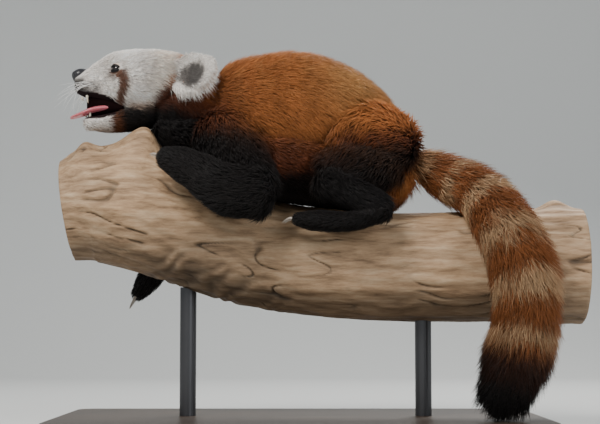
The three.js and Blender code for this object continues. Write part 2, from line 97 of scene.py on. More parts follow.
leftFore = {
    "upper": [[-104, -48, 396, 36, 48, 44], [-84, -84, 350, 32, 54, 48],
              [-58, -112, 306, 29, 46, 42]],
    "lower": [[-50, -114, 306, 30, 38, 38], [-92, -118, 308, 31, 35, 38],
              [-132, -110, 331, 27, 28, 30]],
    "paw": [[-130, -110, 330, 26, 26, 27], [-152, -106, 342, 27, 24, 25],
              [-172, -99, 350, 22, 18, 19]],
}
rightFore = {
    "upper": [[-108, 46, 398, 34, 42, 38], [-122, 88, 350, 29, 38, 34],
              [-146, 112, 290, 25, 30, 28]],
    "lower": [[-144, 112, 296, 27, 30, 28], [-172, 112, 256, 24, 25, 25],
              [-200, 106, 222, 22, 22, 22]],
    "paw": [[-199, 106, 223, 21, 20, 20], [-214, 102, 200, 21, 20, 19],
              [-228, 98, 180, 16, 14, 13]],
}
leftHind = {
    "thigh": [[104, -42, 362, 42, 56, 50], [80, -74, 346, 34, 58, 50], [40, -92, 326, 27, 42, 36]],
    "shank": [[36, -92, 326, 27, 30, 30], [68, -98, 306, 25, 26, 26], [104, -98, 286, 22, 22, 22]],
    "foot": [[106, -98, 284, 22, 20, 18], [64, -100, 270, 23, 16, 16],
             [22, -98, 270, 23, 16, 16], [-2, -96, 272, 18, 12, 12]],
}
legDepth = {"upper": 8, "lower": 6, "paw": 4, "thigh": 9, "shank": 5, "foot": 4}
for leg, parts in (("foreLeft_", leftFore), ("foreRight_", rightFore)):
    for key, rows in parts.items():
        bodyPaths[leg + key] = dict(depth=legDepth[key], flow=1, upTo=steepUp, stations=rows)
for key, rows in leftHind.items():
    bodyPaths["hindLeft_" + key] = dict(depth=legDepth[key], flow=1, stations=rows)
    bodyPaths["hindRight_" + key] = dict(depth=legDepth[key], flow=1, stations=mirrored(rows))
for side, word in ((-1, "Left"), (1, "Right")):
    bodyPaths["ear" + word] = dict(depth=1, flow=1, hint=(0.35, 0, 1), upTo=(0, side, 0), cup=12,
                                   capFirst=0.2, capLast=0.6, stations=turnHead([
        [-178, side * 46, 471, 20, 8, 10], [-160, side * 60, 470, 28, 9, 14],
        [-142, side * 71, 474, 25, 9, 13], [-124, side * 78, 481, 11, 5, 8]]))


def unit(v):
    # each vector divided by its length
    return v / np.maximum(np.linalg.norm(v, axis=-1, keepdims=True), 1e-12)


def dotRows(a, b):
    # the dot product of each pair of rows, as a column
    return (a * b).sum(-1, keepdims=True)


def alongStations(stations, t):
    # a smooth curve through the stations: each span is a cubic of the four rows round it
    s = np.asarray(stations, float)
    padded = np.vstack([2 * s[0] - s[1], s, 2 * s[-1] - s[-2]])
    u = np.clip(t, 0, 1) * (len(s) - 1)
    i = np.minimum(u.astype(int), len(s) - 2)
    f = (u - i)[:, None]
    p0, p1, p2, p3 = padded[i], padded[i + 1], padded[i + 2], padded[i + 3]
    return 0.5 * (2 * p1 + (p2 - p0) * f + (2 * p0 - 5 * p1 + 4 * p2 - p3) * f ** 2
                  + (3 * p1 - p0 - 3 * p2 + p3) * f ** 3)


def sectionsAt(path, t):
    # centre, direction, side, up and three reaches at each t, in metres
    t = np.atleast_1d(np.asarray(t, float))
    rows = alongStations(path["stations"], t) * mm
    step = 0.01
    ahead = alongStations(path["stations"], np.minimum(t + step, 1))[:, :3]
    back = alongStations(path["stations"], np.maximum(t - step, 0))[:, :3]
    along = unit(ahead - back)
    hint = np.array(path.get("hint", (0, 1, 0)), float)
    side = unit(hint - along * (along @ hint)[:, None])
    up = np.cross(side, along)
    middle = up[len(up) // 2] @ np.array(path.get("upTo", (0, 0, 1)), float)
    up = up * (-1 if middle < 0 else 1)
    return rows[:, :3], along, side, up, rows[:, 3:6]


def outward(verts, quads, tris):
    # faces turned over where their volume, the sum of a times b cross c, is below nought
    corners = np.vstack([quads[:, [0, 1, 2]], quads[:, [0, 2, 3]], tris])
    a, b, c = verts[corners[:, 0]], verts[corners[:, 1]], verts[corners[:, 2]]
    if (a * np.cross(b, c)).sum() < 0:
        quads, tris = quads[:, ::-1], tris[:, ::-1]
    return quads, tris


def newObject(name, verts, quads, tris=np.zeros((0, 3), int)):
    # a smooth mesh object from whole arrays
    quads, tris = outward(verts, quads, tris)
    mesh = bpy.data.meshes.new(name)
    mesh.vertices.add(len(verts))
    mesh.vertices.foreach_set("co", np.asarray(verts, np.float32).ravel())
    loops = np.concatenate([quads.ravel(), tris.ravel()]).astype(np.int32)
    mesh.loops.add(len(loops))
    mesh.loops.foreach_set("vertex_index", loops)
    starts = np.concatenate([np.arange(len(quads)) * 4, len(quads) * 4 + np.arange(len(tris)) * 3])
    mesh.polygons.add(len(starts))
    mesh.polygons.foreach_set("loop_start", starts.astype(np.int32))
    mesh.polygons.foreach_set("use_smooth", np.full(len(starts), True))
    mesh.update(calc_edges=True)
    obj = bpy.data.objects.new(name, mesh)
    scene.collection.objects.link(obj)
    return obj


def tubeFaces(rings, sides):
    # quads between rings that start after the first pole, and a fan to each pole
    i, k = np.meshgrid(np.arange(rings - 1), np.arange(sides), indexing="ij")
    a = 1 + i * sides + k
    b = 1 + i * sides + (k + 1) % sides
    quads = np.stack([a, b, b + sides, a + sides], -1).reshape(-1, 4)
    k = np.arange(sides)
    last = 1 + rings * sides
    end = last - sides
    first = np.stack([np.zeros(sides, int), 1 + (k + 1) % sides, 1 + k], -1)
    final = np.stack([end + k, end + (k + 1) % sides, np.full(sides, last)], -1)
    return quads, np.vstack([first, final])


loftValues = {"leastReach": 0.25, "cap": 0.7}
cupValues = {"middle": 0.42, "spread": 0.36, "thin": 0.35, "power": 1.6}


def thinned(reach, depth):
    # reaches less a depth, but never under a share of themselves
    return np.maximum(reach - depth * mm, loftValues["leastReach"] * reach)


def loftArrays(path, sides, rings, thin=0.0, capSteps=5):
    # an ellipse carried along the path, its up and down reaches apart, closed by rounded ends;
    # an ear's outer side is pressed in by cup times a bell along and a power across
    t = np.linspace(0, 1, rings)
    turn = np.linspace(0, math.pi / 2, capSteps + 1)[1:]
    tAll = np.concatenate([np.zeros(capSteps), t, np.ones(capSteps)])
    scale = np.concatenate([np.cos(turn)[::-1], np.ones(rings), np.cos(turn)])
    centre, along, side, up, reach = sectionsAt(path, tAll)
    reach = thinned(reach, thin)
    capReach = np.minimum(reach[:, 0], (reach[:, 1] + reach[:, 2]) / 2)
    first, last = (path.get(key, loftValues["cap"]) for key in ("capFirst", "capLast"))
    shift = np.concatenate([-np.sin(turn)[::-1] * first, np.zeros(rings),
                            np.sin(turn) * last]) * capReach
    angle = np.linspace(0, 2 * math.pi, sides, endpoint=False)
    tall = np.where(np.sin(angle)[None, :] > 0, reach[:, 1:2], reach[:, 2:3])
    x = np.cos(angle)[None, :] * reach[:, :1] * scale[:, None]
    y = np.sin(angle)[None, :] * tall * scale[:, None]
    if "cup" in path:
        bell = np.exp(-((tAll - cupValues["middle"]) / cupValues["spread"]) ** 4)
        bell = bell * path["cup"] * mm * scale
        inward = np.clip(np.sin(angle), 0, 1)[None, :]
        pressed = bell[:, None] * inward ** cupValues["power"]
        y = y * np.where(inward > 0, cupValues["thin"], 1) - pressed
    grid = ((centre + along * shift[:, None])[:, None, :] + side[:, None, :] * x[..., None]
            + up[:, None, :] * y[..., None])
    verts = np.vstack([grid[0, :1], grid[1:-1].reshape(-1, 3), grid[-1, :1]])
    quads, tris = tubeFaces(len(grid) - 2, sides)
    return verts, quads, tris


def evaluated(obj):
    # the object's mesh with its modifiers applied
    graph = bpy.context.evaluated_depsgraph_get()
    mesh = bpy.data.meshes.new_from_object(obj.evaluated_get(graph))
    obj.modifiers.clear()
    obj.data = mesh
    return mesh


def meshArrays(mesh):
    # vertices, triangles and vertex normals
    verts = np.empty(len(mesh.vertices) * 3)
    mesh.vertices.foreach_get("co", verts)
    mesh.calc_loop_triangles()
    tris = np.empty(len(mesh.loop_triangles) * 3, np.int32)
    mesh.loop_triangles.foreach_get("vertices", tris)
    normals = np.empty(len(mesh.vertices) * 3)
    mesh.vertices.foreach_get("normal", normals)
    return verts.reshape(-1, 3), tris.reshape(-1, 3), normals.reshape(-1, 3)


def ripple(points, size, shift=0.0):
    # smooth noise near -1..1: 1.6 times the mean of six sines of the place, each along its own way
    waves = np.array([[1, 0.4, 0.2], [-0.3, 1, 0.5], [0.2, -0.5, 1],
                      [0.9, -0.8, 0.6], [-0.7, 0.6, 1.1], [1.2, 0.9, -0.5]]) * 2 * math.pi / size
    phases = shift + np.array([0.0, 1.3, 2.1, 4.0, 5.2, 0.7])
    return np.sin(points @ waves.T + phases).mean(-1) * 1.6


def blend(a, b, f):
    # a and b mixed by the share f
    f = np.clip(f, 0, 1)
    return a * (1 - f[:, None]) + np.asarray(b) * f[:, None]


def fade(x, low, high):
    # 0 below low, 1 above high, and three squares less two cubes of the share between
    f = np.clip((x - low) / (high - low), 0, 1)
    return f * f * (3 - 2 * f)


# One skin for all the flesh: the lofts joined, remeshed as one surface and smoothed
skinValues = {"sides": 40, "rings": 40, "voxel": 0.0027, "smoothing": 7}


def makeSkin():
    # each loft is thinned by its coat's depth before they are joined
    sides, rings = skinValues["sides"], skinValues["rings"]
    allVerts, allQuads, allTris, count = [], [], [], 0
    for path in bodyPaths.values():
        verts, quads, tris = loftArrays(path, sides, rings, path["depth"])
        quads, tris = outward(verts, quads, tris)
        allVerts.append(verts)
        allQuads.append(quads + count)
        allTris.append(tris + count)
        count += len(verts)
    skin = newObject("skin", np.vstack(allVerts), np.vstack(allQuads), np.vstack(allTris))
    remesh = skin.modifiers.new("one surface", "REMESH")
    remesh.mode = "VOXEL"
    remesh.voxel_size = skinValues["voxel"]
    remesh.use_smooth_shade = True
    smooth = skin.modifiers.new("soften joins", "SMOOTH")
    smooth.iterations = skinValues["smoothing"]
    smooth.factor = 0.5
    evaluated(skin)
    return skin


skin = makeSkin()
skinVerts, skinTris, skinNormals = meshArrays(skin.data)
print("skin", len(skinVerts), "vertices", len(skinTris), "triangles")


# How each part's coat lies: length, width and rise of its tufts in millimetres at t = 0, 0.5 and 1,
# how far it droops towards the ground, and its tufts for each square centimetre
coatValues = {
    "torso": ((25, 29, 29), (1.3, 1.4, 1.4), (8, 9.5, 9), 0.42, 42),
    "neck": ((20, 24, 26), (1.1, 1.2, 1.4), (6, 7, 8), 0.35, 50),
    "head": ((21, 11, 4), (1.1, 0.85, 0.55), (4.5, 2.4, 1.1), 0.30, 75),
    "jaw": ((16, 11, 7), (1.0, 0.8, 0.65), (4, 3, 2), 0.25, 75),
    "tail": ((34, 44, 42), (1.4, 1.6, 1.5), (14, 19, 18), 0.0, 48),
    "ear": ((9, 6.5, 5), (0.75, 0.65, 0.55), (1.8, 1.3, 1.4), 0.1, 75),
    "upper": ((24, 22, 20), (2.0, 1.9, 1.8), (7, 6, 5), 0.2, 24),
    "lower": ((18, 16, 13), (1.7, 1.6, 1.4), (5, 4.5, 4), 0.1, 22),
    "paw": ((12, 9, 7), (1.4, 1.2, 1.1), (3, 2.4, 2), 0.0, 30),
    "thigh": ((28, 26, 22), (2.2, 2.1, 1.9), (9, 8, 6), 0.25, 20),
    "shank": ((18, 16, 13), (1.7, 1.6, 1.5), (4.5, 4, 3.5), 0.1, 22),
    "foot": ((12, 10, 8), (1.4, 1.3, 1.1), (3, 2.6, 2), 0.0, 28),
}
fringeValues = {"across": (0.25, 0.8), "droop": 1.6, "adds": (15, 0.4, 1.0, 10)}  # ears' edge
wanderValues = {"size": 0.045, "share": 0.22}
shareValues = {"sharp": 9, "endReach": 0.6, "samples": 14, "longSamples": 36}
partNames = list(bodyPaths)


def coatKey(name):
    # which coat a part wears: its name's last word, or ear
    return "ear" if name.startswith("ear") else name.split("_")[-1]


def nearestSections(points):
    # for each part: the least distance to its sections, the root of three offsets squared, each in
    # the section's own reach, with the t and the angle there
    far = np.empty((len(partNames), len(points)))
    tBest = np.empty_like(far)
    angleBest = np.empty_like(far)
    for j, name in enumerate(partNames):
        samples = "longSamples" if name in ("torso", "tail", "head") else "samples"
        t = np.linspace(0, 1, shareValues[samples])
        centre, along, side, up, reach = sectionsAt(bodyPaths[name], t)
        reach = thinned(reach, bodyPaths[name]["depth"])
        best = np.full(len(points), 1e9)
        tPart = np.zeros(len(points))
        anglePart = np.zeros(len(points))
        for k in range(len(t)):
            rel = points - centre[k]
            s = rel @ side[k] / reach[k, 0]
            rise = rel @ up[k]
            u = rise / np.where(rise > 0, reach[k, 1], reach[k, 2])
            a = rel @ along[k] / (shareValues["endReach"] * reach[k, 0])
            d = s * s + u * u + a * a
            better = d < best
            best[better] = d[better]
            tPart[better] = t[k]
            anglePart[better] = np.arctan2(u[better], s[better])
        far[j], tBest[j], angleBest[j] = np.sqrt(best), tPart, anglePart
    return far, tBest, angleBest


far, tBest, angleBest = nearestSections(skinVerts)
shares = np.exp(-shareValues["sharp"] * (far - far.min(0)))
shares /= shares.sum(0)
owner = far.argmin(0)
every = np.arange(len(skinVerts))
ownT = tBest[owner, every]
ownAngle = angleBest[owner, every]
print("skin parted by its nearest limbs")


def acrossEar(name, t):
    # how far up or down an ear each skin vertex is, in the ear's own half widths
    centre, _, sideways, _, reach = sectionsAt(bodyPaths[name], t)
    return dotRows(skinVerts - centre, sideways)[:, 0] / reach[:, 0]


def coatFields():
    # length, width, rise, density and direction at each skin vertex, mixed between the parts
    size = np.zeros((len(skinVerts), 4))
    flow = np.zeros((len(skinVerts), 3))
    for j, name in enumerate(partNames):
        length, width, rise, droop, dense = coatValues[coatKey(name)]
        share = shares[j][:, None]
        values = [np.interp(tBest[j], (0, 0.5, 1), ends) for ends in (length, width, rise)]
        size += share * np.stack(values + [np.full(len(skinVerts), dense)], -1)
        along = sectionsAt(bodyPaths[name], np.linspace(0, 1, 41))[1] * bodyPaths[name]["flow"]
        row = along[np.clip((tBest[j] * 40).round().astype(int), 0, 40)]
        droop = np.full((len(skinVerts), 1), droop)
        if name.startswith("ear"):
            low = fade(-acrossEar(name, tBest[j]), *fringeValues["across"])[:, None]
            droop += fringeValues["droop"] * low
            size += share * low * np.array(fringeValues["adds"])
        flow += share * (row + droop * np.array([0, 0, -1]))
    wander = np.stack([ripple(skinVerts, wanderValues["size"], k) for k in (0.0, 2.0, 4.0)], -1)
    flow = flow + wanderValues["share"] * wander
    flow = unit(flow - skinNormals * dotRows(flow, skinNormals))
    return size, flow


coatSize, coatFlow = coatFields()

# The coat's markings with a painted highlight on the upper rump and painted shade in the mouth, in
# linear colour: one function paints the skin and the tufts. A pair is where a fade starts and ends,
# in millimetres, or in shares of the part's height or length
coatColours = {
    "rust": (0.43, 0.150, 0.042), "paintedHighlight": (0.66, 0.36, 0.13), "deep": (0.13, 0.034, 0.012),
    "black": (0.007, 0.005, 0.0045), "white": (0.93, 0.87, 0.81), "cream": (0.78, 0.63, 0.48),
    "tan": (0.48, 0.24, 0.10), "tear": (0.13, 0.045, 0.018), "grey": (0.075, 0.068, 0.064),
    "buff": (0.55, 0.36, 0.20), "tailRust": (0.26, 0.088, 0.028), "tailDark": (0.035, 0.012, 0.006),
    "mouth": (0.010, 0.004, 0.004),
}
markingAndPaintedLightValues = {
    "showsAt": 0.5, "patches": 0.03, "flecks": 0.011,
    "torso": {"deepUnder": (0.15, 0.7), "deepFront": (-0.3, 0.0), "blackUnder": (0.72, 0.92),
              "paintedHighlightAt": (82, -60, 462), "paintedHighlightSize": 55},
    "neck": {"rustAbove": (0.1, 0.8), "blackUnder": (-0.15, 0.4)},
    "head": {"creamBehind": (-222, -190), "crownBehind": (-200, -186), "crownAbove": (484, 496),
             "jowlUnder": (-438, -427), "jowlBehind": (-238, -228), "napeDeep": (-466, -446),
             "cheekHeight": (424, 430, 443, 455, 470, 490),
             "cheekBack": (-206, -203, -196, -185, -178, -170), "cheekEdge": (-4, 4),
             "throatUnder": (-427, -419), "throatBehind": (-244, -226), "aside": (14, 22),
             "tearLine": [(-240, 468), (-239, 456), (-242, 443), (-245, 431), (-244, 420)],
             "tearWidth": 6.8, "spotAt": (-251, 471), "spotSize": (8.5, 6.5),
             "muzzleAhead": (262, 276), "muzzleUnder": (-466, -457), "lipAhead": (287, 294),
             "lipUnder": (-471, -464)},
    "jaw": {"tearUnder": (-403, -396), "tearBehind": (-258, -250), "blackBehind": (-247, -236)},
    "tail": {"shift": 0.045, "step": 0.13, "first": 0.04, "last": 0.84, "edge": (0.05, 0.75),
             "from": (0.09, 0.13), "darkBy": 0.89, "blackTip": (0.93, 0.99)},
    "ear": {"cupFacing": (0.15, 0.5), "cupEdge": (-1.0, -0.72), "cupAt": (-0.05, 0.42),
            "cupSize": (0.66, 0.36), "backFacing": (0.4, 0.8), "backAlong": (0.3, 0.7)},
    "thigh": {"deepUnder": (-402, -378), "blackUnder": (-386, -358)},
    "upper": {"chest": (-448, -412), "belly": (-345, -330), "foreleg": (-415, -375)},
    "mouth": {"ahead": -250, "wide": 27, "low": 405, "high": 452, "palateAbove": 424,
              "palateFacing": -0.62, "jawBelow": 436, "jawFacing": 0.4},
}


def lineDistance(x, z, line):
    # the least distance in a side view from each place to a bent line
    best = np.full(len(x), 1e9)
    for (x0, z0), (x1, z1) in zip(line[:-1], line[1:]):
        dx, dz = x1 - x0, z1 - z0
        f = np.clip(((x - x0) * dx + (z - z0) * dz) / (dx * dx + dz * dz), 0, 1)
        best = np.minimum(best, np.hypot(x - x0 - f * dx, z - z0 - f * dz))
    return best


def inHead(x, y):
    # places turned back by the head's angle about the neck's axis
    dx, c, s = x - headPivot[0], math.cos(-headTurn), math.sin(-headTurn)
    return headPivot[0] + dx * c - y * s, y * c + dx * s


def markingsAndPaintedLight():
    # each part's colours laid over one another by fades of place, height and noise, and the parts
    # mixed by their shares, with a painted highlight on the upper rump; skin that faces into the
    # mouth takes the mouth's near-black painted shade
    colour = {k: np.array(v) for k, v in coatColours.items()}
    x, y, z = (skinVerts / mm + coatFlow * coatSize[:, :1] * markingAndPaintedLightValues["showsAt"]).T
    patch = ripple(skinVerts, markingAndPaintedLightValues["patches"])
    fine = ripple(skinVerts, markingAndPaintedLightValues["flecks"], 1.0)
    hx, hy = inHead(x, y)
    result = np.zeros((len(x), 3))

    def plain(name):
        return np.tile(colour[name], (len(x), 1))

    for j, name in enumerate(partNames):
        t, height, key = tBest[j], np.sin(angleBest[j]), coatKey(name)
        mark = markingAndPaintedLightValues.get(key)
        if key == "torso":
            c = blend(plain("rust"), colour["deep"], fade(-height, *mark["deepUnder"]) * 0.85)
            c = blend(c, colour["deep"], fade(-t, *mark["deepFront"]) * 0.7)
            # painted highlight: the upper sides of the rump turn light gold where the top light
            # falls, and the upper half gets a patchy painted sheen of the same gold
            paintedHighlight = np.exp(-((x - mark["paintedHighlightAt"][0]) ** 2 + (np.abs(y) + mark["paintedHighlightAt"][1]) ** 2
                            + (z - mark["paintedHighlightAt"][2]) ** 2) / mark["paintedHighlightSize"] ** 2)
            sheen = fade(patch, 0, 1) * fade(height, 0, 0.6)
            c = blend(c, colour["paintedHighlight"], paintedHighlight * 0.75 + 0.15 * sheen)
            c = blend(c, colour["black"], fade(-height, *mark["blackUnder"]))
        elif key == "neck":
            c = blend(plain("deep"), colour["rust"], fade(height, *mark["rustAbove"]))
            c = blend(c, colour["black"], fade(-height, *mark["blackUnder"]))
        elif key == "head":
            cream = 0.45 * fade(hx, *mark["creamBehind"]) + 0.12 * fade(patch, 0, 1)
            crown = 0.5 * fade(hx, *mark["crownBehind"]) * fade(z, *mark["crownAbove"])
            jowl = 0.6 * fade(-z, *mark["jowlUnder"]) * fade(hx, *mark["jowlBehind"])
            c = blend(plain("white"), colour["cream"], cream)
            c = blend(c, colour["tan"], crown * fade(fine, -0.3, 0.5))
            c = blend(c, colour["tan"], jowl)
            behind = hx - np.interp(z, mark["cheekHeight"], mark["cheekBack"]) + 3 * fine
            nape = blend(plain("rust"), colour["deep"], fade(-z, *mark["napeDeep"]))
            c = blend(c, nape, fade(behind, *mark["cheekEdge"]))
            throat = blend(plain("tear"), colour["black"], fade(hx, *mark["throatBehind"]))
            c = blend(c, throat, fade(-z + 3 * fine, *mark["throatUnder"]))
            tear = lineDistance(hx, z, mark["tearLine"]) + 1.2 * fine
            line = 1 - fade(tear, mark["tearWidth"] * 0.6, mark["tearWidth"] * 1.15)
            aside = fade(np.abs(hy), *mark["aside"])
            c = blend(c, colour["tear"], line * aside * 0.95)
            (spotX, spotZ), (wide, tall) = mark["spotAt"], mark["spotSize"]
            spot = np.exp(-((hx - spotX) / wide) ** 2 - ((z - spotZ) / tall) ** 2) * aside
            c = blend(c, colour["tear"], np.clip(spot * 1.1, 0, 0.85))
            muzzle = fade(-hx, *mark["muzzleAhead"]) * fade(-z, *mark["muzzleUnder"])
            c = blend(c, colour["grey"], muzzle * (0.30 + 0.50 * fade(fine, -0.2, 0.4)))
            lip = 0.85 * fade(-hx, *mark["lipAhead"]) * fade(-z, *mark["lipUnder"])
            c = blend(c, colour["black"], lip)
        elif key == "jaw":
            c = blend(plain("white"), colour["tear"], fade(-z, *mark["tearUnder"]) * 0.8)
            c = blend(c, colour["tear"], fade(hx + 2 * fine, *mark["tearBehind"]))
            c = blend(c, colour["black"], fade(hx, *mark["blackBehind"]))
        elif key == "tail":
            t = t + mark["shift"]
            band = (t - mark["first"]) / mark["step"] + 0.10 * patch
            pale = (fade(np.cos(2 * math.pi * band), *mark["edge"]) * fade(t, *mark["from"])
                    * fade(-t, -mark["last"] - 0.02, -mark["last"] + 0.01))
            c = blend(plain("tailRust"), colour["buff"], pale * 0.85)
            c = blend(c, colour["tailDark"], fade(t, mark["last"], mark["darkBy"]))
            c = blend(c, colour["black"], fade(t, *mark["blackTip"]))
        elif key == "ear":
            facing = dotRows(skinNormals, sectionsAt(bodyPaths[name], t)[3])[:, 0]
            (cupX, cupT), (wide, long) = mark["cupAt"], mark["cupSize"]
            rim = np.hypot((acrossEar(name, t) - cupX) / wide, (t - cupT) / long) + 0.12 * fine
            inside = fade(facing, *mark["cupFacing"]) * fade(-rim, *mark["cupEdge"]) * 0.9
            back = fade(-facing, *mark["backFacing"]) * fade(t, *mark["backAlong"]) * 0.6
            c = blend(blend(plain("white"), colour["grey"], inside), colour["tan"], back)
        elif key == "thigh":
            c = blend(plain("rust"), colour["deep"], fade(-z, *mark["deepUnder"]))
            c = blend(c, colour["black"], fade(-z, *mark["blackUnder"]))
        elif key == "upper":
            under = mark.get(name.split("_")[0], mark["foreleg"])
            c = blend(plain("deep"), colour["black"], fade(-z, *under))
        else:
            c = plain("black")
        result += shares[j][:, None] * c
    # painted shade: skin facing into the mouth, the palate and the jaw's top, is painted near black
    # for the shade inside the open mouth
    x, y, z = (skinVerts / mm).T
    mouth, facing = markingAndPaintedLightValues["mouth"], skinNormals[:, 2]
    inMouth = ((inHead(x, y)[0] < mouth["ahead"]) & (np.abs(hy) < mouth["wide"])
               & (z > mouth["low"]) & (z < mouth["high"]))
    palate = inMouth & (facing < mouth["palateFacing"]) & (z > mouth["palateAbove"])
    jawTop = inMouth & (facing > mouth["jawFacing"]) & (z < mouth["jawBelow"])
    paintedShadeLining = palate | jawTop
    result[paintedShadeLining] = colour["mouth"]
    return np.clip(result, 0, 1), paintedShadeLining


coatColour, mouthLining = markingsAndPaintedLight()


def colourAttribute(mesh, name, colours):
    # one linear colour for each vertex
    attribute = mesh.color_attributes.new(name, "FLOAT_COLOR", "POINT")
    rgba = np.ones((len(colours), 4), np.float32)
    rgba[:, :3] = colours
    attribute.data.foreach_set("color", rgba.ravel())


def setSockets(node, **values):
    # sockets are given by their names with underscores for spaces
    for key, value in values.items():
        node.inputs[key.replace("_", " ")].default_value = value
    return node


def addNode(tree, kind, **values):
    # a new shader node with its sockets set
    return setSockets(tree.nodes.new("ShaderNode" + kind), **values)


def painted(tree, name):
    # the output of a colour attribute
    node = addNode(tree, "VertexColor")
    node.layer_name = name
    return node.outputs["Color"]


def material(name, base, rough, **sockets):
    # a principled material with its node tree and its shader
    made = bpy.data.materials.new(name)
    made.use_nodes = True
    shader = made.node_tree.nodes["Principled BSDF"]
    setSockets(shader, Base_Color=(*base, 1), Roughness=rough, **sockets)
    return made, made.node_tree, shader


def furMaterial(name, rough, sheen):
    # hair that takes its colour from the coat's attribute
    made, tree, shader = material(name, (0.5, 0.5, 0.5), rough, Sheen_Weight=sheen,
                                  Specular_IOR_Level=0.18)
    tree.links.new(painted(tree, "coatColour"), shader.inputs["Base Color"])
    return made


skinFur = furMaterial("short underfur", 0.8, 0.0)
tuftFur = furMaterial("fur tufts", 0.5, 0.04)
underTint = 0.62
skinPaint = coatColour * underTint
# the skin in the mouth keeps its painted shade colour
skinPaint[mouthLining] = coatColour[mouthLining]
colourAttribute(skin.data, "coatColour", skinPaint)
skin.data.materials.append(skinFur)
fleshNodes = ["torso", "neck", "head", "lower_jaw", "ear_left", "ear_right",
              "tail_base", "tail_middle", "tail_lower", "tail_tip"]
fleshNodes += [f"foreleg_{s}_{k}" for s in ("left", "right") for k in ("upper", "lower", "paw")]
fleshNodes += [f"hindleg_{s}_{k}" for s in ("left", "right") for k in ("thigh", "shank", "foot")]
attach(skin, "root")
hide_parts(*fleshNodes)


def strandArrays(centres, across, face, halfWidth, halfThick):
    # closed three-sided strands: each carries a low triangle along its own line to a sharp tip
    count, rings = centres.shape[0], centres.shape[1] - 1
    angle = np.radians([90, 210, 330])
    offset = (across[:, :rings, None] * (np.cos(angle)[:, None] * halfWidth[:, :rings, None, None])
              + face[:, :rings, None] * (np.sin(angle)[:, None] * halfThick[:, :rings, None, None]))
    ringPoints = (centres[:, :rings, None] + offset).reshape(count, rings * 3, 3)
    verts = np.concatenate([ringPoints, centres[:, -1:]], 1)
    each = rings * 3 + 1
    i, k = np.meshgrid(np.arange(rings - 1), np.arange(3), indexing="ij")
    a, b = i * 3 + k, i * 3 + (k + 1) % 3
    quads = np.stack([a, b, b + 3, a + 3], -1).reshape(-1, 4)
    k = np.arange(3)
    end = (rings - 1) * 3
    tips = np.stack([end + k, end + (k + 1) % 3, np.full(3, each - 1)], -1)
    tris = np.vstack([tips, [[2, 1, 0]]])
    shift = (np.arange(count) * each)[:, None, None]
    return verts.reshape(-1, 3), (quads + shift).reshape(-1, 4), (tris + shift).reshape(-1, 3)


# Each tuft's share of its length, width and rise is drawn between the pairs. Tufts rooted in one
# cell draw together, and root and tip are how dark and how light a tuft is at its ends.
tuftValues = {"rings": 2, "lengths": (0.72, 1.2), "widths": (0.75, 1.25), "rises": (0.55, 1.15),
              "stray": 0.14, "bend": 0.1, "flat": 0.45, "sunk": 0.0012,
              "cell": 0.0065, "cellLength": 22, "cellScale": (0.45, 1.5), "warp": 0.004,
              "draw": 0.42, "root": 0.6, "tip": 1.15, "tints": (0.80, 1.20),
              "clumpTints": (0.86, 1.14), "patch": 0.003}


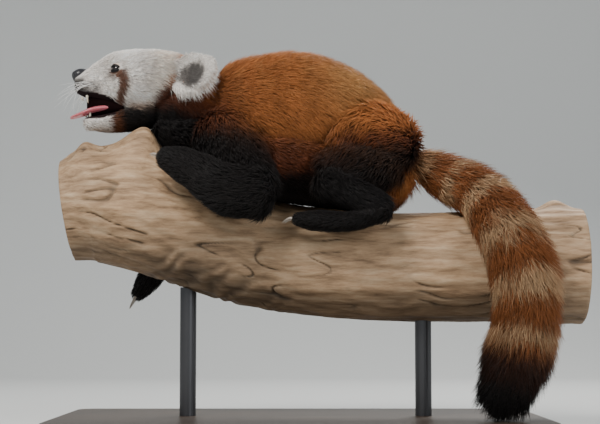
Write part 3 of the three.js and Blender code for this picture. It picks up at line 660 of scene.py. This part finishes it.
def makeCoat(name, chosen, nodes, slotName, seed):
    # tufts rooted on the skin's triangles whose vertices are chosen; each rises from its root
    # along the normal and runs along the flow, and neighbours draw together towards their tips
    tuft, rings, draw = tuftValues, tuftValues["rings"], np.random.default_rng(seed)
    use = skinTris[chosen[skinTris].all(1)]
    p = skinVerts[use]
    area = np.linalg.norm(np.cross(p[:, 1] - p[:, 0], p[:, 2] - p[:, 0]), axis=1) / 2
    weight = area * coatSize[use, 3].mean(1) * 1e4
    count = int(weight.sum())
    pick = draw.choice(len(use), count, p=weight / weight.sum())
    bary = draw.dirichlet((1, 1, 1), count)
    corner = use[pick]

    def mix(field):
        return (field[corner] * bary[:, :, None]).sum(1)

    root, normal, lie = mix(skinVerts), unit(mix(skinNormals)), mix(coatFlow)
    size, colour = mix(coatSize), mix(coatColour)
    lead = corner[np.arange(count), bary.argmax(1)]
    lie = lie + tuft["stray"] * draw.normal(size=(count, 3))
    lie = unit(lie - normal * dotRows(lie, normal))
    across = np.cross(lie, normal)
    length = size[:, 0] * mm * draw.uniform(*tuft["lengths"], count)
    width = size[:, 1] * mm * draw.uniform(*tuft["widths"], count)
    rise = size[:, 2] * mm * draw.uniform(*tuft["rises"], count)
    warped = root + tuft["warp"] * np.stack([ripple(root, 0.02, k) for k in (0.5, 2.5, 4.5)], -1)
    cellSize = tuft["cell"] * np.clip(size[:, :1] / tuft["cellLength"], *tuft["cellScale"])
    cell = np.floor(warped / cellSize).astype(np.int64)
    cellKey = (cell * np.array([1, 100003, 10000019])).sum(1)  # one number for each cell
    _, member = np.unique(cellKey, return_inverse=True)
    total = np.bincount(member)
    middle = np.stack([np.bincount(member, root[:, k]) / total for k in range(3)], -1)[member]
    pull = middle - root
    pull -= normal * dotRows(pull, normal)
    s = np.linspace(0, 1, rings + 1)
    arc = 1.5 * s - 0.5 * s ** 2
    bend = length[:, None] * tuft["bend"] * draw.normal(size=(count, 1)) * s ** 2
    centres = (root[:, None] + lie[:, None] * (length[:, None] * s)[..., None]
               + normal[:, None] * (rise[:, None] * arc - tuft["sunk"] * (1 - s) ** 2)[..., None]
               + pull[:, None] * (tuft["draw"] * s ** 1.3)[None, :, None]
               + across[:, None] * bend[..., None])
    shape = np.interp(s, (0, 0.4, 0.8, 1), (0.75, 1, 0.6, 0))
    halfWidth = width[:, None] / 2 * shape
    acrossRings, faceRings = (np.repeat(v[:, None], rings + 1, 1) for v in (across, normal))
    strands = strandArrays(centres, acrossRings, faceRings, halfWidth, halfWidth * tuft["flat"])
    tint = draw.uniform(*tuft["tints"], (count, 1)) * (1 + 0.10 * ripple(root, 0.05, 3.0)[:, None])
    tint = tint * draw.uniform(*tuft["clumpTints"], len(total))[member][:, None]
    alongTint = tuft["root"] + (tuft["tip"] - tuft["root"]) * s
    ringTint = np.concatenate([np.repeat(alongTint[:-1], 3), alongTint[-1:]])
    bright = 1 - 0.7 * np.clip(colour.mean(1) / 0.8, 0, 1)  # pale hair changes less
    paint = (colour * tint)[:, None, :] * (ringTint[None, :] ** bright[:, None])[..., None]
    coat = newObject(name, *strands)
    colourAttribute(coat.data, "coatColour", np.clip(paint.reshape(-1, 3), 0, 1))
    bakePatches(coat, lead, s)
    coat.data.materials.append(tuftFur)
    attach(coat, "root")
    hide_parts(*nodes)
    print(name, count, "tufts", count * (6 * rings - 2), "triangles")


def bakePatches(coat, lead, s):
    # each tuft is a small patch at its root's place on the skin's unwrap: the angle round the part
    # runs across the map and the way along it runs up, with the parts side by side
    parts = np.unique(owner[lead])
    tile = np.searchsorted(parts, owner[lead])
    u = (tile + 0.02 + 0.96 * (ownAngle[lead] / (2 * math.pi) + 0.5)) / len(parts)
    t = ownT[lead] + 0.02 * ripple(skinVerts[lead], 0.006)
    v = np.clip((t - t.min()) / max(np.ptp(t), 1e-6), 0, 1) * 0.98 + 0.01
    rings, patch = len(s) - 1, tuftValues["patch"]
    localU = np.concatenate([np.tile([0, -0.5, 0.5], rings), [0.0]]) * patch
    localV = np.concatenate([np.repeat(s[:-1], 3), s[-1:]]) * patch - patch / 2
    uv = np.stack([u[:, None] + localU, v[:, None] + localV], -1).reshape(-1, 2)
    layer = coat.data.uv_layers.new(name="OFBake")
    loops = np.empty(len(coat.data.loops), np.int32)
    coat.data.loops.foreach_get("vertex_index", loops)
    layer.data.foreach_set("uv", np.clip(uv[loops], 0, 1).astype(np.float32).ravel())


def ownedBy(*starts):
    # skin vertices whose nearest part's name starts so
    return np.isin(owner, [j for j, name in enumerate(partNames) if name.startswith(starts)])


def nodesWith(*words):
    # the flesh nodes whose names hold any of the words
    return [n for n in fleshNodes if any(word in n for word in words)]


xSkin, ySkin = skinVerts[:, 0] / mm, skinVerts[:, 1]
eyePlaces = turnHead([[-248.2, -32.3, 476.5], [-248.2, 32.3, 476.5]]) * mm
nosePlace = turnHead([[-300, 0, 475]])[0] * mm
bareValues = {"eye": 0.0092, "eyeShift": (0.0015, 0, 0), "nose": 0.0135,
              "noseShape": (0.7, 1, 0.95)}
toEyes = [np.linalg.norm(skinVerts - e + bareValues["eyeShift"], axis=1) for e in eyePlaces]
toNose = np.linalg.norm((skinVerts - nosePlace) * np.array(bareValues["noseShape"]), axis=1)
bare = (np.min(toEyes, 0) < bareValues["eye"]) | (toNose < bareValues["nose"]) | mouthLining
headSkin = ownedBy("head", "jaw") & ~bare
torsoSkin, tailSkin = ownedBy("torso"), ownedBy("tail")
# name, skin vertices, nodes, slot and the seed of each coat's draws; neighbours overlap a little
coats = [
    ("shoulder", torsoSkin & (xSkin < -20), ["torso"], "rust_coat", 2),
    ("back", torsoSkin & (xSkin >= -22) & (xSkin < 55), ["torso"], "rust_coat", 3),
    ("rump", torsoSkin & (xSkin >= 53), ["torso"], "rust_coat", 4),
    ("neck", ownedBy("neck"), ["neck"], "rust_coat", 5),
    ("chest", ownedBy("chest"), ["neck", "torso"], "black_coat", 16),
    ("belly", ownedBy("belly"), ["torso"], "black_coat", 17),
    ("left_face", headSkin & (ySkin <= 0), ["head", "lower_jaw"], "white_coat", 6),
    ("right_face", headSkin & (ySkin > -0.001), ["head", "lower_jaw"], "white_coat", 7),
    ("ear", ownedBy("ear"), ["ear_left", "ear_right"], "white_coat", 8),
    ("upper_tail", tailSkin & (ownT < 0.45), ["tail_base", "tail_middle"], "tail_coat", 9),
    ("middle_tail", tailSkin & (ownT >= 0.43) & (ownT < 0.73), ["tail_middle", "tail_lower"],
     "tail_coat", 10),
    ("lower_tail", tailSkin & (ownT >= 0.71), ["tail_lower", "tail_tip"], "tail_coat", 15),
]
for limb, node, starts, seed in (("foreleg", "foreleg", ("fore",), 11),
                                 ("hind_leg", "hindleg", ("hip", "hind"), 13)):
    for k, side in enumerate(("left", "right")):
        owned = ownedBy(*(start + side.title() for start in starts))
        coats.append((f"{side}_{limb}", owned, nodesWith(f"{node}_{side}"), "black_coat", seed + k))
for name, *rest in coats:
    makeCoat(name + "_coat", *rest)


def tubes(name, lines, radii, sides):
    # round tubes along each line of points, tapered by radii and closed at both ends by a point
    count, rings = lines.shape[:2]
    along = unit(np.gradient(lines, axis=1))
    helper = np.where(np.abs(along[..., 2:]) > 0.9, [1.0, 0, 0], [0, 0, 1.0])
    across = unit(np.cross(along, helper))
    face = np.cross(across, along)
    angle = np.linspace(0, 2 * math.pi, sides, endpoint=False)
    ring = (lines[:, :, None]
            + across[:, :, None] * (np.cos(angle)[:, None] * radii[:, :, None, None])
            + face[:, :, None] * (np.sin(angle)[:, None] * radii[:, :, None, None]))
    each = rings * sides + 2
    verts = np.concatenate([lines[:, :1] - along[:, :1] * radii[:, :1, None] * 0.5,
                            ring.reshape(count, -1, 3),
                            lines[:, -1:] + along[:, -1:] * radii[:, -1:, None] * 0.5], 1)
    quads, tris = tubeFaces(rings, sides)
    shift = (np.arange(count) * each)[:, None, None]
    quads, tris = (quads + shift).reshape(-1, 4), (tris + shift).reshape(-1, 3)
    return newObject(name, verts.reshape(-1, 3), quads, tris)


def place(obj, nodes, made):
    # one material, and what the piece stands for in the part
    obj.data.materials.clear()
    obj.data.materials.append(made)
    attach(obj, "root")
    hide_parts(*nodes)
    return obj


# Eyes: a dark glossy ball in each socket, with a lid above and below it
eyeValues = {"radius": 7.2, "sides": 40, "rings": 26, "ahead": 0.62, "aside": 0.78, "up": 0.06}
lidValues = {"slitHigh": 0.36, "slitWide": 1.2, "lowerShare": 0.55, "outer": 1.35, "gap": 0.5,
             "swell": 0.7, "thick": 1.1}


def ball(name, centre, radius):
    # a sphere from its two angles, with a point at each pole
    rings, sides = eyeValues["rings"], eyeValues["sides"]
    polar = np.linspace(0, math.pi, rings + 2)[1:-1]
    around = np.linspace(0, 2 * math.pi, sides, endpoint=False)
    p, a = np.meshgrid(polar, around, indexing="ij")
    points = np.stack([np.sin(p) * np.cos(a), np.sin(p) * np.sin(a), np.cos(p)], -1).reshape(-1, 3)
    points = np.vstack([[[0, 0, 1]], points, [[0, 0, -1]]]) * radius + centre
    return newObject(name, points, *tubeFaces(rings, sides))


eyeGloss, _, _ = material("moist dark eye", (0.012, 0.006, 0.004), 0.06, Coat_Weight=1.0,
                          Coat_Roughness=0.03)
lidColours = {"edge": (0.005, 0.004, 0.004), "patch": (0.10, 0.040, 0.020),
              "face": (0.62, 0.50, 0.42)}


def eyeAxes(side):
    # the way an eye looks, and level and upward at right angles to it
    look = [headPivot[0] - eyeValues["ahead"], side * eyeValues["aside"], headPivot[2]]
    out = unit(turnHead([look])[0] - np.array(headPivot, float) + [0, 0, eyeValues["up"]])
    level = unit(np.cross([0, 0, 1.0], out)) * side
    tilt = unit(np.cross(out, level)) * side
    return out, level, tilt


def lid(name, side, upper):
    # a strip of sphere from the slit's edge to the socket: the slit is a lens in two angles, and
    # the lid's radius grows a little away from the slit
    out, level, tilt = eyeAxes(side)
    u = np.linspace(-1, 1, 33)
    v = np.linspace(0, 1, 12)
    uu, vv = np.meshgrid(u, v, indexing="ij")
    edge = lidValues["slitHigh"] * (1 - uu ** 2) * (1.0 if upper else lidValues["lowerShare"])
    outer = lidValues["outer"] * np.sqrt(np.clip(1 - 0.9 * uu ** 2, 0, 1))
    high = (edge + (outer - edge) * vv) * (1 if upper else -1)
    wide = uu * lidValues["slitWide"]
    swell = lidValues["swell"] * np.sin(np.clip(vv * 3, 0, math.pi / 2))
    radius = (eyeValues["radius"] + lidValues["gap"] + swell) * mm
    direction = (out * (np.cos(high) * np.cos(wide))[..., None] + tilt * np.sin(high)[..., None]
                 + level * (np.cos(high) * np.sin(wide))[..., None])
    points = eyePlaces[0 if side < 0 else 1] + direction * radius[..., None]
    rows, columns = points.shape[:2]
    i, k = np.meshgrid(np.arange(rows - 1), np.arange(columns - 1), indexing="ij")
    a = i * columns + k
    quads = np.stack([a, a + 1, a + columns + 1, a + columns], -1).reshape(-1, 4)
    obj = newObject(name, points.reshape(-1, 3), quads)
    plain = {key: np.tile(tone, (vv.size, 1)) for key, tone in lidColours.items()}
    front = fade(uu.ravel() * side * level[0], -0.5, 0.6) if upper else np.ones(vv.size)
    shown = blend(plain["face"], plain["patch"], front * fade(-vv.ravel(), -0.8, -0.5))
    paint = blend(plain["edge"], shown, fade(vv.ravel(), 0.36, 0.52))
    colourAttribute(obj.data, "coatColour", paint)
    thick = obj.modifiers.new("lid thickness", "SOLIDIFY")
    thick.thickness = lidValues["thick"] * mm
    thick.offset = 0
    evaluated(obj)
    return place(obj, ["head"], tuftFur)


for side, word in ((-1, "left"), (1, "right")):
    eye = ball("eyeball_" + word, eyePlaces[0 if side < 0 else 1], eyeValues["radius"] * mm)
    place(eye, ["eye_" + word], eyeGloss)
    lid("upper_lid_" + word, side, True)
    lid("lower_lid_" + word, side, False)
print("eyes done")


def bumped(tree, shader, scale, strength, distance, kind="TexNoise", stretch=(1, 1, 1)):
    # a fine bump whose height is a texture of the object's own coordinates
    coords = addNode(tree, "TexCoord")
    mapping = addNode(tree, "Mapping", Scale=stretch)
    texture = addNode(tree, kind, Scale=scale)
    bump = addNode(tree, "Bump", Strength=strength, Distance=distance)
    tree.links.new(coords.outputs["Object"], mapping.inputs["Vector"])
    tree.links.new(mapping.outputs["Vector"], texture.inputs["Vector"])
    tree.links.new(texture.outputs[0], bump.inputs["Height"])
    tree.links.new(bump.outputs["Normal"], shader.inputs["Normal"])
    return texture


# Nose, tongue, the mouth's lining painted near black as shade, and teeth
noseSkin, tree, shader = material("nose leather", (0.014, 0.013, 0.016), 0.34, Coat_Weight=0.35,
                                  Coat_Roughness=0.2)
bumped(tree, shader, 900, 0.5, 0.0004, "TexVoronoi")
nosePath = dict(hint=headHint, capFirst=0.5, capLast=0.55, stations=turnHead([
    [-289, 0, 474.5, 7.5, 7, 7], [-295, 0, 474, 10.4, 8.4, 9.4], [-300, 0, 473, 11.2, 8.4, 10],
    [-304.5, 0, 472, 9.4, 6.8, 8.8]]))
noseValues = {"tip": (-307.5, 0, 471.5), "nostrilAt": (5.0, -0.3), "nostrilSize": (2.1, 1.9),
              "nostrilDeep": 3.6, "cleftWide": 0.8, "cleftDeep": 1.0}


def makeNose():
    # the nose loft, pressed in at each nostril by a bell and along the cleft by a narrow groove
    verts, quads, tris = loftArrays(nosePath, 64, 40)
    forward = np.array([-math.cos(headTurn), -math.sin(headTurn), 0])
    rel = verts - turnHead([noseValues["tip"]])[0] * mm
    across, high = rel @ np.array(headHint) / mm, rel[:, 2] / mm
    front = fade(rel @ forward / mm, -9, -2)
    (asideAt, highAt), (wide, tall) = noseValues["nostrilAt"], noseValues["nostrilSize"]
    hole = np.exp(-((np.abs(across) - asideAt) / wide) ** 2 - ((high - highAt) / tall) ** 2)
    cleft = np.exp(-(across / noseValues["cleftWide"]) ** 2) * fade(-high, 0, 3)
    deep = (noseValues["nostrilDeep"] * hole + noseValues["cleftDeep"] * cleft) * front
    return newObject("nose_leather", verts - forward * deep[:, None] * mm, quads, tris)


place(makeNose(), ["nose"], noseSkin)
tonguePink, tree, shader = material("moist tongue", (0.60, 0.15, 0.18), 0.32, Coat_Weight=0.5,
                                    Subsurface_Weight=0.15, Subsurface_Scale=0.004)
bumped(tree, shader, 1400, 0.35, 0.0003)
tonguePath = dict(hint=headHint, capFirst=0.6, capLast=0.8, stations=turnHead([
    [-246, -2, 428, 11, 4, 4], [-264, -2, 428, 14, 4.5, 4.5], [-282, -3, 425, 15, 3.8, 4],
    [-298, -4, 419, 11.5, 2.6, 3], [-309, -4, 415, 5.5, 1.5, 1.6]]))
tongueValues = {"middle": (-280, -3, 424), "grooveDeep": 1.1, "grooveWide": 2.2}


def makeTongue():
    # the tongue loft, lowered along its middle by a bell across it
    verts, quads, tris = loftArrays(tonguePath, 40, 60)
    across = (verts - turnHead([tongueValues["middle"]])[0] * mm) @ np.array(headHint) / mm
    groove = np.exp(-(across / tongueValues["grooveWide"]) ** 2)
    verts[:, 2] -= tongueValues["grooveDeep"] * mm * groove
    return newObject("tongue_blade", verts, quads, tris)


place(makeTongue(), ["tongue"], tonguePink)
# painted shade: a near-black matte sheet inside the open mouth stands in for the shade there
mouthDark, _, _ = material("mouth lining", (0.006, 0.002, 0.002), 0.9, Specular_IOR_Level=0.05)
mouthPath = dict(hint=headHint, capFirst=0.5, capLast=0.3, stations=turnHead([
    [-240, 0, 428, 24, 7, 9], [-256, 0, 430, 17, 13, 12], [-272, 0, 431, 11, 17, 15],
    [-286, 0, 431, 8, 17, 15]]))
paintedShadeLining = newObject("mouth_lining", *loftArrays(mouthPath, 40, 24))
place(paintedShadeLining, ["head"], mouthDark)
ivory, _, _ = material("tooth ivory", (0.72, 0.66, 0.52), 0.25)
# x, y, z, height and root radius; a canine's row stands for both sides
canines = [(-288, 11, 444, -10, 1.9), (-284, 9.5, 416, 9, 1.7)]
frontTeeth = [(-296 + abs(k), k * 2.2, 443, -4, 1.0) for k in range(-2, 3)]
frontTeeth += [(-291 + abs(k), k * 2.0, 417, 4, 0.9) for k in range(-2, 3)]


def makeTeeth():
    # short cones that curve a little backwards, by a square, and thin by a power
    rows = [(x, y * sign, z, tall, r) for x, y, z, tall, r in canines for sign in (1, -1)]
    s = np.linspace(0, 1, 8)
    lines, radii = [], []
    for x, y, z, tall, r in rows + frontTeeth:
        lines.append(turnHead(np.stack([x + 1.5 * s ** 2, np.full(8, float(y)), z + tall * s], -1)))
        radii.append(r * (1 - 0.85 * s ** 1.6))
    teeth = tubes("teeth", np.array(lines) * mm, np.array(radii) * mm, 10)
    place(teeth, ["head"], ivory)


makeTeeth()

# Whiskers: fine white bristles from the muzzle
whiskerValues = {"eachSide": 14, "length": (42, 66), "radius": 0.30, "x": (-292, -276),
                 "y": (17.5, 20.5), "z": (450, 464)}
whiskerWhite, _, _ = material("whiskers", (0.9, 0.88, 0.85), 0.4)


def makeWhiskers():
    # each bristle leaves the muzzle outwards and bends down and back along a parabola
    draw = np.random.default_rng(31)
    n = whiskerValues["eachSide"] * 2
    side = np.where(np.arange(n) < n // 2, -1.0, 1.0)
    start = np.stack([draw.uniform(*whiskerValues["x"], n),
                      side * draw.uniform(*whiskerValues["y"], n),
                      draw.uniform(*whiskerValues["z"], n)], -1)
    start = turnHead(start) * mm
    heading = unit(np.stack([draw.uniform(-0.75, -0.25, n), side * draw.uniform(0.35, 0.9, n),
                             draw.uniform(-0.45, 0.1, n)], -1))
    length = draw.uniform(*whiskerValues["length"], n) * mm
    s = np.linspace(0, 1, 9)
    sag = np.stack([draw.uniform(-0.05, 0.25, n), np.zeros(n), draw.uniform(-0.45, -0.1, n)], -1)
    lines = (start[:, None] + heading[:, None] * (length[:, None] * s)[..., None]
             + sag[:, None] * (length[:, None] * s ** 2)[..., None])
    radii = whiskerValues["radius"] * mm * (1 - 0.8 * s)[None] * np.ones((n, 1))
    place(tubes("whiskers", lines, radii, 5), ["head"], whiskerWhite)


makeWhiskers()

# Claws: five curved tapering cones on each paw
clawValues = {"length": 12, "radius": 1.7, "spread": 7.0}
clawHorn, _, _ = material("claw horn", (0.42, 0.36, 0.30), 0.3, Coat_Weight=0.3)


def makeClaws():
    # from each paw's last section a claw runs on, and curves in and down by a square
    lines, radii = [], []
    down, s = np.array([0, 0, -1.0]), np.linspace(0, 1, 10)[:, None]
    for name, path in bodyPaths.items():
        key = coatKey(name)
        if key not in ("paw", "foot"):
            continue
        centre, along, across, up, reach = (v[0] for v in sectionsAt(path, [1.0]))
        inward = np.array([0, -np.sign(centre[1]), 0]) * (1.0 if key == "paw" else 0.2)
        inward = unit(inward + down * 0.6)
        for k in range(-2, 3):
            root = (centre + across * k * clawValues["spread"] * mm * 0.85
                    + along * (reach[0] * 0.55 - abs(k) * 0.0012))
            lines.append(root + along * clawValues["length"] * mm * s
                         + inward * clawValues["length"] * mm * 0.55 * s ** 2)
            radii.append(clawValues["radius"] * mm * (1 - 0.92 * s[:, 0] ** 1.4))
    claws = tubes("claws", np.array(lines), np.array(radii), 10)
    place(claws, nodesWith("paw", "foot"), clawHorn)


makeClaws()
print("mouth, whiskers and claws done")

# The branch: bare weathered wood, fluted and cracked along its grain, with sawn ends
branchPath = dict(capFirst=0.04, capLast=0.04, stations=[
    [-312, 0, 292, 66, 68, 70], [-270, 0, 298, 74, 80, 78], [-215, -2, 290, 78, 84, 82],
    [-140, 0, 262, 74, 78, 78], [-62, 0, 236, 72, 74, 76], [0, 0, 222, 74, 75, 72],
    [100, 0, 216, 74, 73, 74], [230, 0, 216, 75, 73, 75], [378, 0, 216, 77, 78, 78]])
branchValues = {"rings": 330, "sides": 280, "flutes": 2.0, "cracks": 3.6, "slants": 2.4,
                "bumpEnds": (-0.316, -0.308, -0.382, -0.374)}
# x, y, size along and across, the height it starts above, and how far it stands out
bumps = {"knob": (-214, -24, 24, 24, 340, 30), "burl": (344, 6, 20, 24, 250, 13),
         "stub": (-286, -30, 13, 13, 320, 12)}


def makeBranch():
    # the log's loft, moved along its radius by flutes that twist along it, narrow cracks and three
    # bells: the knob under the throat, a stub before it and the burl at the right
    sides, rings = branchValues["sides"], branchValues["rings"]
    verts, quads, tris = loftArrays(branchPath, sides, rings, 1.0, 8)
    steps = np.linspace(0, 1, 400)
    t = np.interp(verts[:, 0], sectionsAt(branchPath, steps)[0][:, 0], steps)
    centre, along, side, up, reach = sectionsAt(branchPath, t)
    out = verts - centre
    out = unit(out - along * dotRows(out, along))
    angle = np.arctan2(dotRows(out, up)[:, 0], dotRows(out, side)[:, 0])
    length = verts[:, 0]
    flute = np.sin(9 * angle + 6 * length + 1.5 * ripple(verts, 0.16)) * 0.5
    flute += np.sin(23 * angle - 9 * length + 2.5 * ripple(verts, 0.09, 2.0)) * 0.3
    grainPlace = np.stack([length * 0.22, np.cos(angle) * 0.075, np.sin(angle) * 0.075], -1)
    crackWave = np.abs(ripple(grainPlace, 0.034, 4.0) + 0.10 * ripple(verts, 0.05, 1.0))
    crack = np.exp(-(crackWave / 0.06) ** 2) * fade(ripple(verts, 0.10, 3.0), 0.0, 0.5)
    under = fade(-np.sin(angle), 0.1, 0.7) * fade(-np.abs(t - 0.4), -0.3, -0.1)
    slant = np.abs(np.sin(100 * length + 7 * angle + 1.6 * ripple(verts, 0.07))) * under
    push = (branchValues["flutes"] * flute - branchValues["cracks"] * crack
            - branchValues["slants"] * slant ** 2)
    x, y, z = (verts / mm).T
    for atX, atY, sizeX, sizeY, above, high in bumps.values():
        bell = np.exp(-((x - atX) / sizeX) ** 2 - ((y - atY) / sizeY) ** 2) * (z > above)
        push = push + high * bell
    leftFrom, leftTo, rightFrom, rightTo = branchValues["bumpEnds"]
    inside = fade(length, leftFrom, leftTo) * fade(-length, rightFrom, rightTo)
    verts = verts + out * (push * inside)[:, None] * mm
    log = newObject("branch_wood", verts, quads, tris)
    # painted shade and highlight: darker in the cracks, slants and flute hollows, lighter on the
    # flute ridges, darker on the underside, and a painted shadow on the lower middle under the
    # animal
    shade = np.clip(1.05 - 0.66 * crack - 0.38 * slant ** 3 + 0.12 * flute, 0.2, 1.2)
    shade *= 1 - 0.45 * fade(-np.sin(angle), 0.2, 1.0)
    shade *= 1 - 0.35 * fade(-np.abs(t - 0.42), -0.22, -0.02) * fade(-np.sin(angle), -0.6, 0.4)
    paint = np.clip(shade, 0, 1.2)[:, None] * np.array([1.0, 0.97, 0.93])
    colourAttribute(log.data, "shade", paint)
    return log


def multiplied(tree, first, second):
    # the product of two colour outputs
    node = tree.nodes.new("ShaderNodeMix")
    node.data_type, node.blend_type = "RGBA", "MULTIPLY"
    setSockets(node, Factor=1)
    tree.links.new(first, node.inputs["A"])
    tree.links.new(second, node.inputs["B"])
    return node.outputs["Result"]


def woodMaterial(name, tones, rough, stretch, scale, paintedShade=None):
    # three tones mixed by noise drawn out along the branch, times a blotch and, if given, a colour
    # attribute of painted shade, with a fine bump of the same grain
    dark, middle, pale = tones
    made, tree, shader = material(name, middle, rough)
    grain = setSockets(bumped(tree, shader, scale, 0.6, 0.0015, stretch=stretch), Detail=9,
                       Roughness=0.68)
    ramp = addNode(tree, "ValToRGB")
    for element, position, tone in zip(ramp.color_ramp.elements, (0.30, 0.72), (dark, pale)):
        element.position, element.color = position, (*tone, 1)
    ramp.color_ramp.elements.new(0.5).color = (*middle, 1)
    tree.links.new(grain.outputs[0], ramp.inputs["Fac"])
    blotch = addNode(tree, "TexNoise", Scale=9, Detail=5)
    tree.links.new(addNode(tree, "TexCoord").outputs["Object"], blotch.inputs["Vector"])
    shade = addNode(tree, "MapRange", From_Min=0.3, From_Max=0.7, To_Min=0.72, To_Max=1.12)
    tree.links.new(blotch.outputs[0], shade.inputs["Value"])
    colour = multiplied(tree, ramp.outputs["Color"], shade.outputs["Result"])
    # the painted shade attribute darkens the wood's colour
    if paintedShade:
        colour = multiplied(tree, colour, painted(tree, paintedShade))
    tree.links.new(colour, shader.inputs["Base Color"])
    return made


bareTones = ((0.16, 0.095, 0.05), (0.38, 0.25, 0.145), (0.56, 0.42, 0.28))
bareWood = woodMaterial("weathered branch wood", bareTones, 0.72, (6, 40, 40), 3.0, "shade")
place(makeBranch(), ["perch"], bareWood)

# Stand: the base and rods stay the part's own solids, with their own finishes
standTones = ((0.030, 0.018, 0.011), (0.055, 0.034, 0.022), (0.085, 0.055, 0.036))
standWood = woodMaterial("dark stained base", standTones, 0.38, (3, 40, 40), 2.5)
satinSteel, _, _ = material("satin grey steel", (0.09, 0.09, 0.095), 0.36, Metallic=0.9)
for name, made in (("stand_base", standWood), ("stand_rod_left_end", satinSteel),
                   ("stand_rod_right_end", satinSteel)):
    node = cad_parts[name]
    node.data.materials.clear()
    node.data.materials.append(made)
print("branch and stand done")


# Floor and backdrop in one pale sweep, three soft lights and the photograph's viewing angle
sweepValues = {"radius": 1.2, "wallY": 3.2, "frontY": -6.0, "height": 6.0, "half": 7.0}


def makeStage():
    # a flat floor that turns up into a wall along a quarter circle, carried across the width
    radius, wallY, half = sweepValues["radius"], sweepValues["wallY"], sweepValues["half"]
    turn = np.linspace(0, math.pi / 2, 24)
    y = np.concatenate([[sweepValues["frontY"]], wallY - radius + radius * np.sin(turn), [wallY]])
    z = np.concatenate([[0.0], radius - radius * np.cos(turn), [sweepValues["height"]]])
    x = np.array([-half, half])
    points = np.stack([np.repeat(x[:, None], len(y), 1), np.tile(y, (2, 1)),
                       np.tile(z, (2, 1))], -1)
    k = np.arange(len(y) - 1)
    quads = np.stack([k, k + len(y), k + len(y) + 1, k + 1], -1)
    obj = newObject("studio_sweep", points.reshape(-1, 3), quads)
    made, _, _ = material("pale studio paper", (0.62, 0.63, 0.62), 0.9)
    obj.data.materials.append(made)


# place, size, power and colour of each lamp; all aim at one point
lampValues = {"key": ((-1.1, -1.9, 2.3), 1.2, 84, (1.0, 0.97, 0.93)),
              "fill": ((1.9, -1.6, 1.2), 1.8, 26, (0.93, 0.96, 1.0)),
              "rim": ((0.8, 1.5, 2.0), 1.0, 46, (1.0, 0.98, 0.95))}
lampAim = (0, 0, 0.32)
worldValues = {"Color": (0.75, 0.8, 0.84, 1), "Strength": 0.45}
cameraValues = {"at": (0, -2.0, 0.13), "tilt": 90 + 4.545, "lens": 89.17, "sensor": 36}


def addLight(name, at, size, power, colour):
    # a round lamp, turned by two angles from its place towards the aim
    lamp = bpy.data.lights.new(name, "AREA")
    lamp.shape = "DISK"
    lamp.size = size
    lamp.energy = power
    lamp.color = colour
    obj = bpy.data.objects.new(name, lamp)
    obj.location = at
    aim = np.array(lampAim) - np.array(at)
    flat = math.hypot(aim[0], aim[1])
    obj.rotation_euler = (math.atan2(flat, -aim[2]), 0, math.atan2(aim[0], -aim[1]) + math.pi)
    scene.collection.objects.link(obj)


makeStage()
for name, values in lampValues.items():
    addLight(name, *values)
world = bpy.data.worlds.new("studio")
world.use_nodes = True
setSockets(world.node_tree.nodes["Background"], **worldValues)
scene.world = world

cameraData = bpy.data.cameras.new("camera")
cameraData.sensor_width = cameraValues["sensor"]
cameraData.lens = cameraValues["lens"]
camera = bpy.data.objects.new("camera", cameraData)
camera.location = cameraValues["at"]
camera.rotation_euler = (math.radians(cameraValues["tilt"]), 0, 0)
scene.collection.objects.link(camera)
scene.camera = camera
print("stage, lights and camera done")
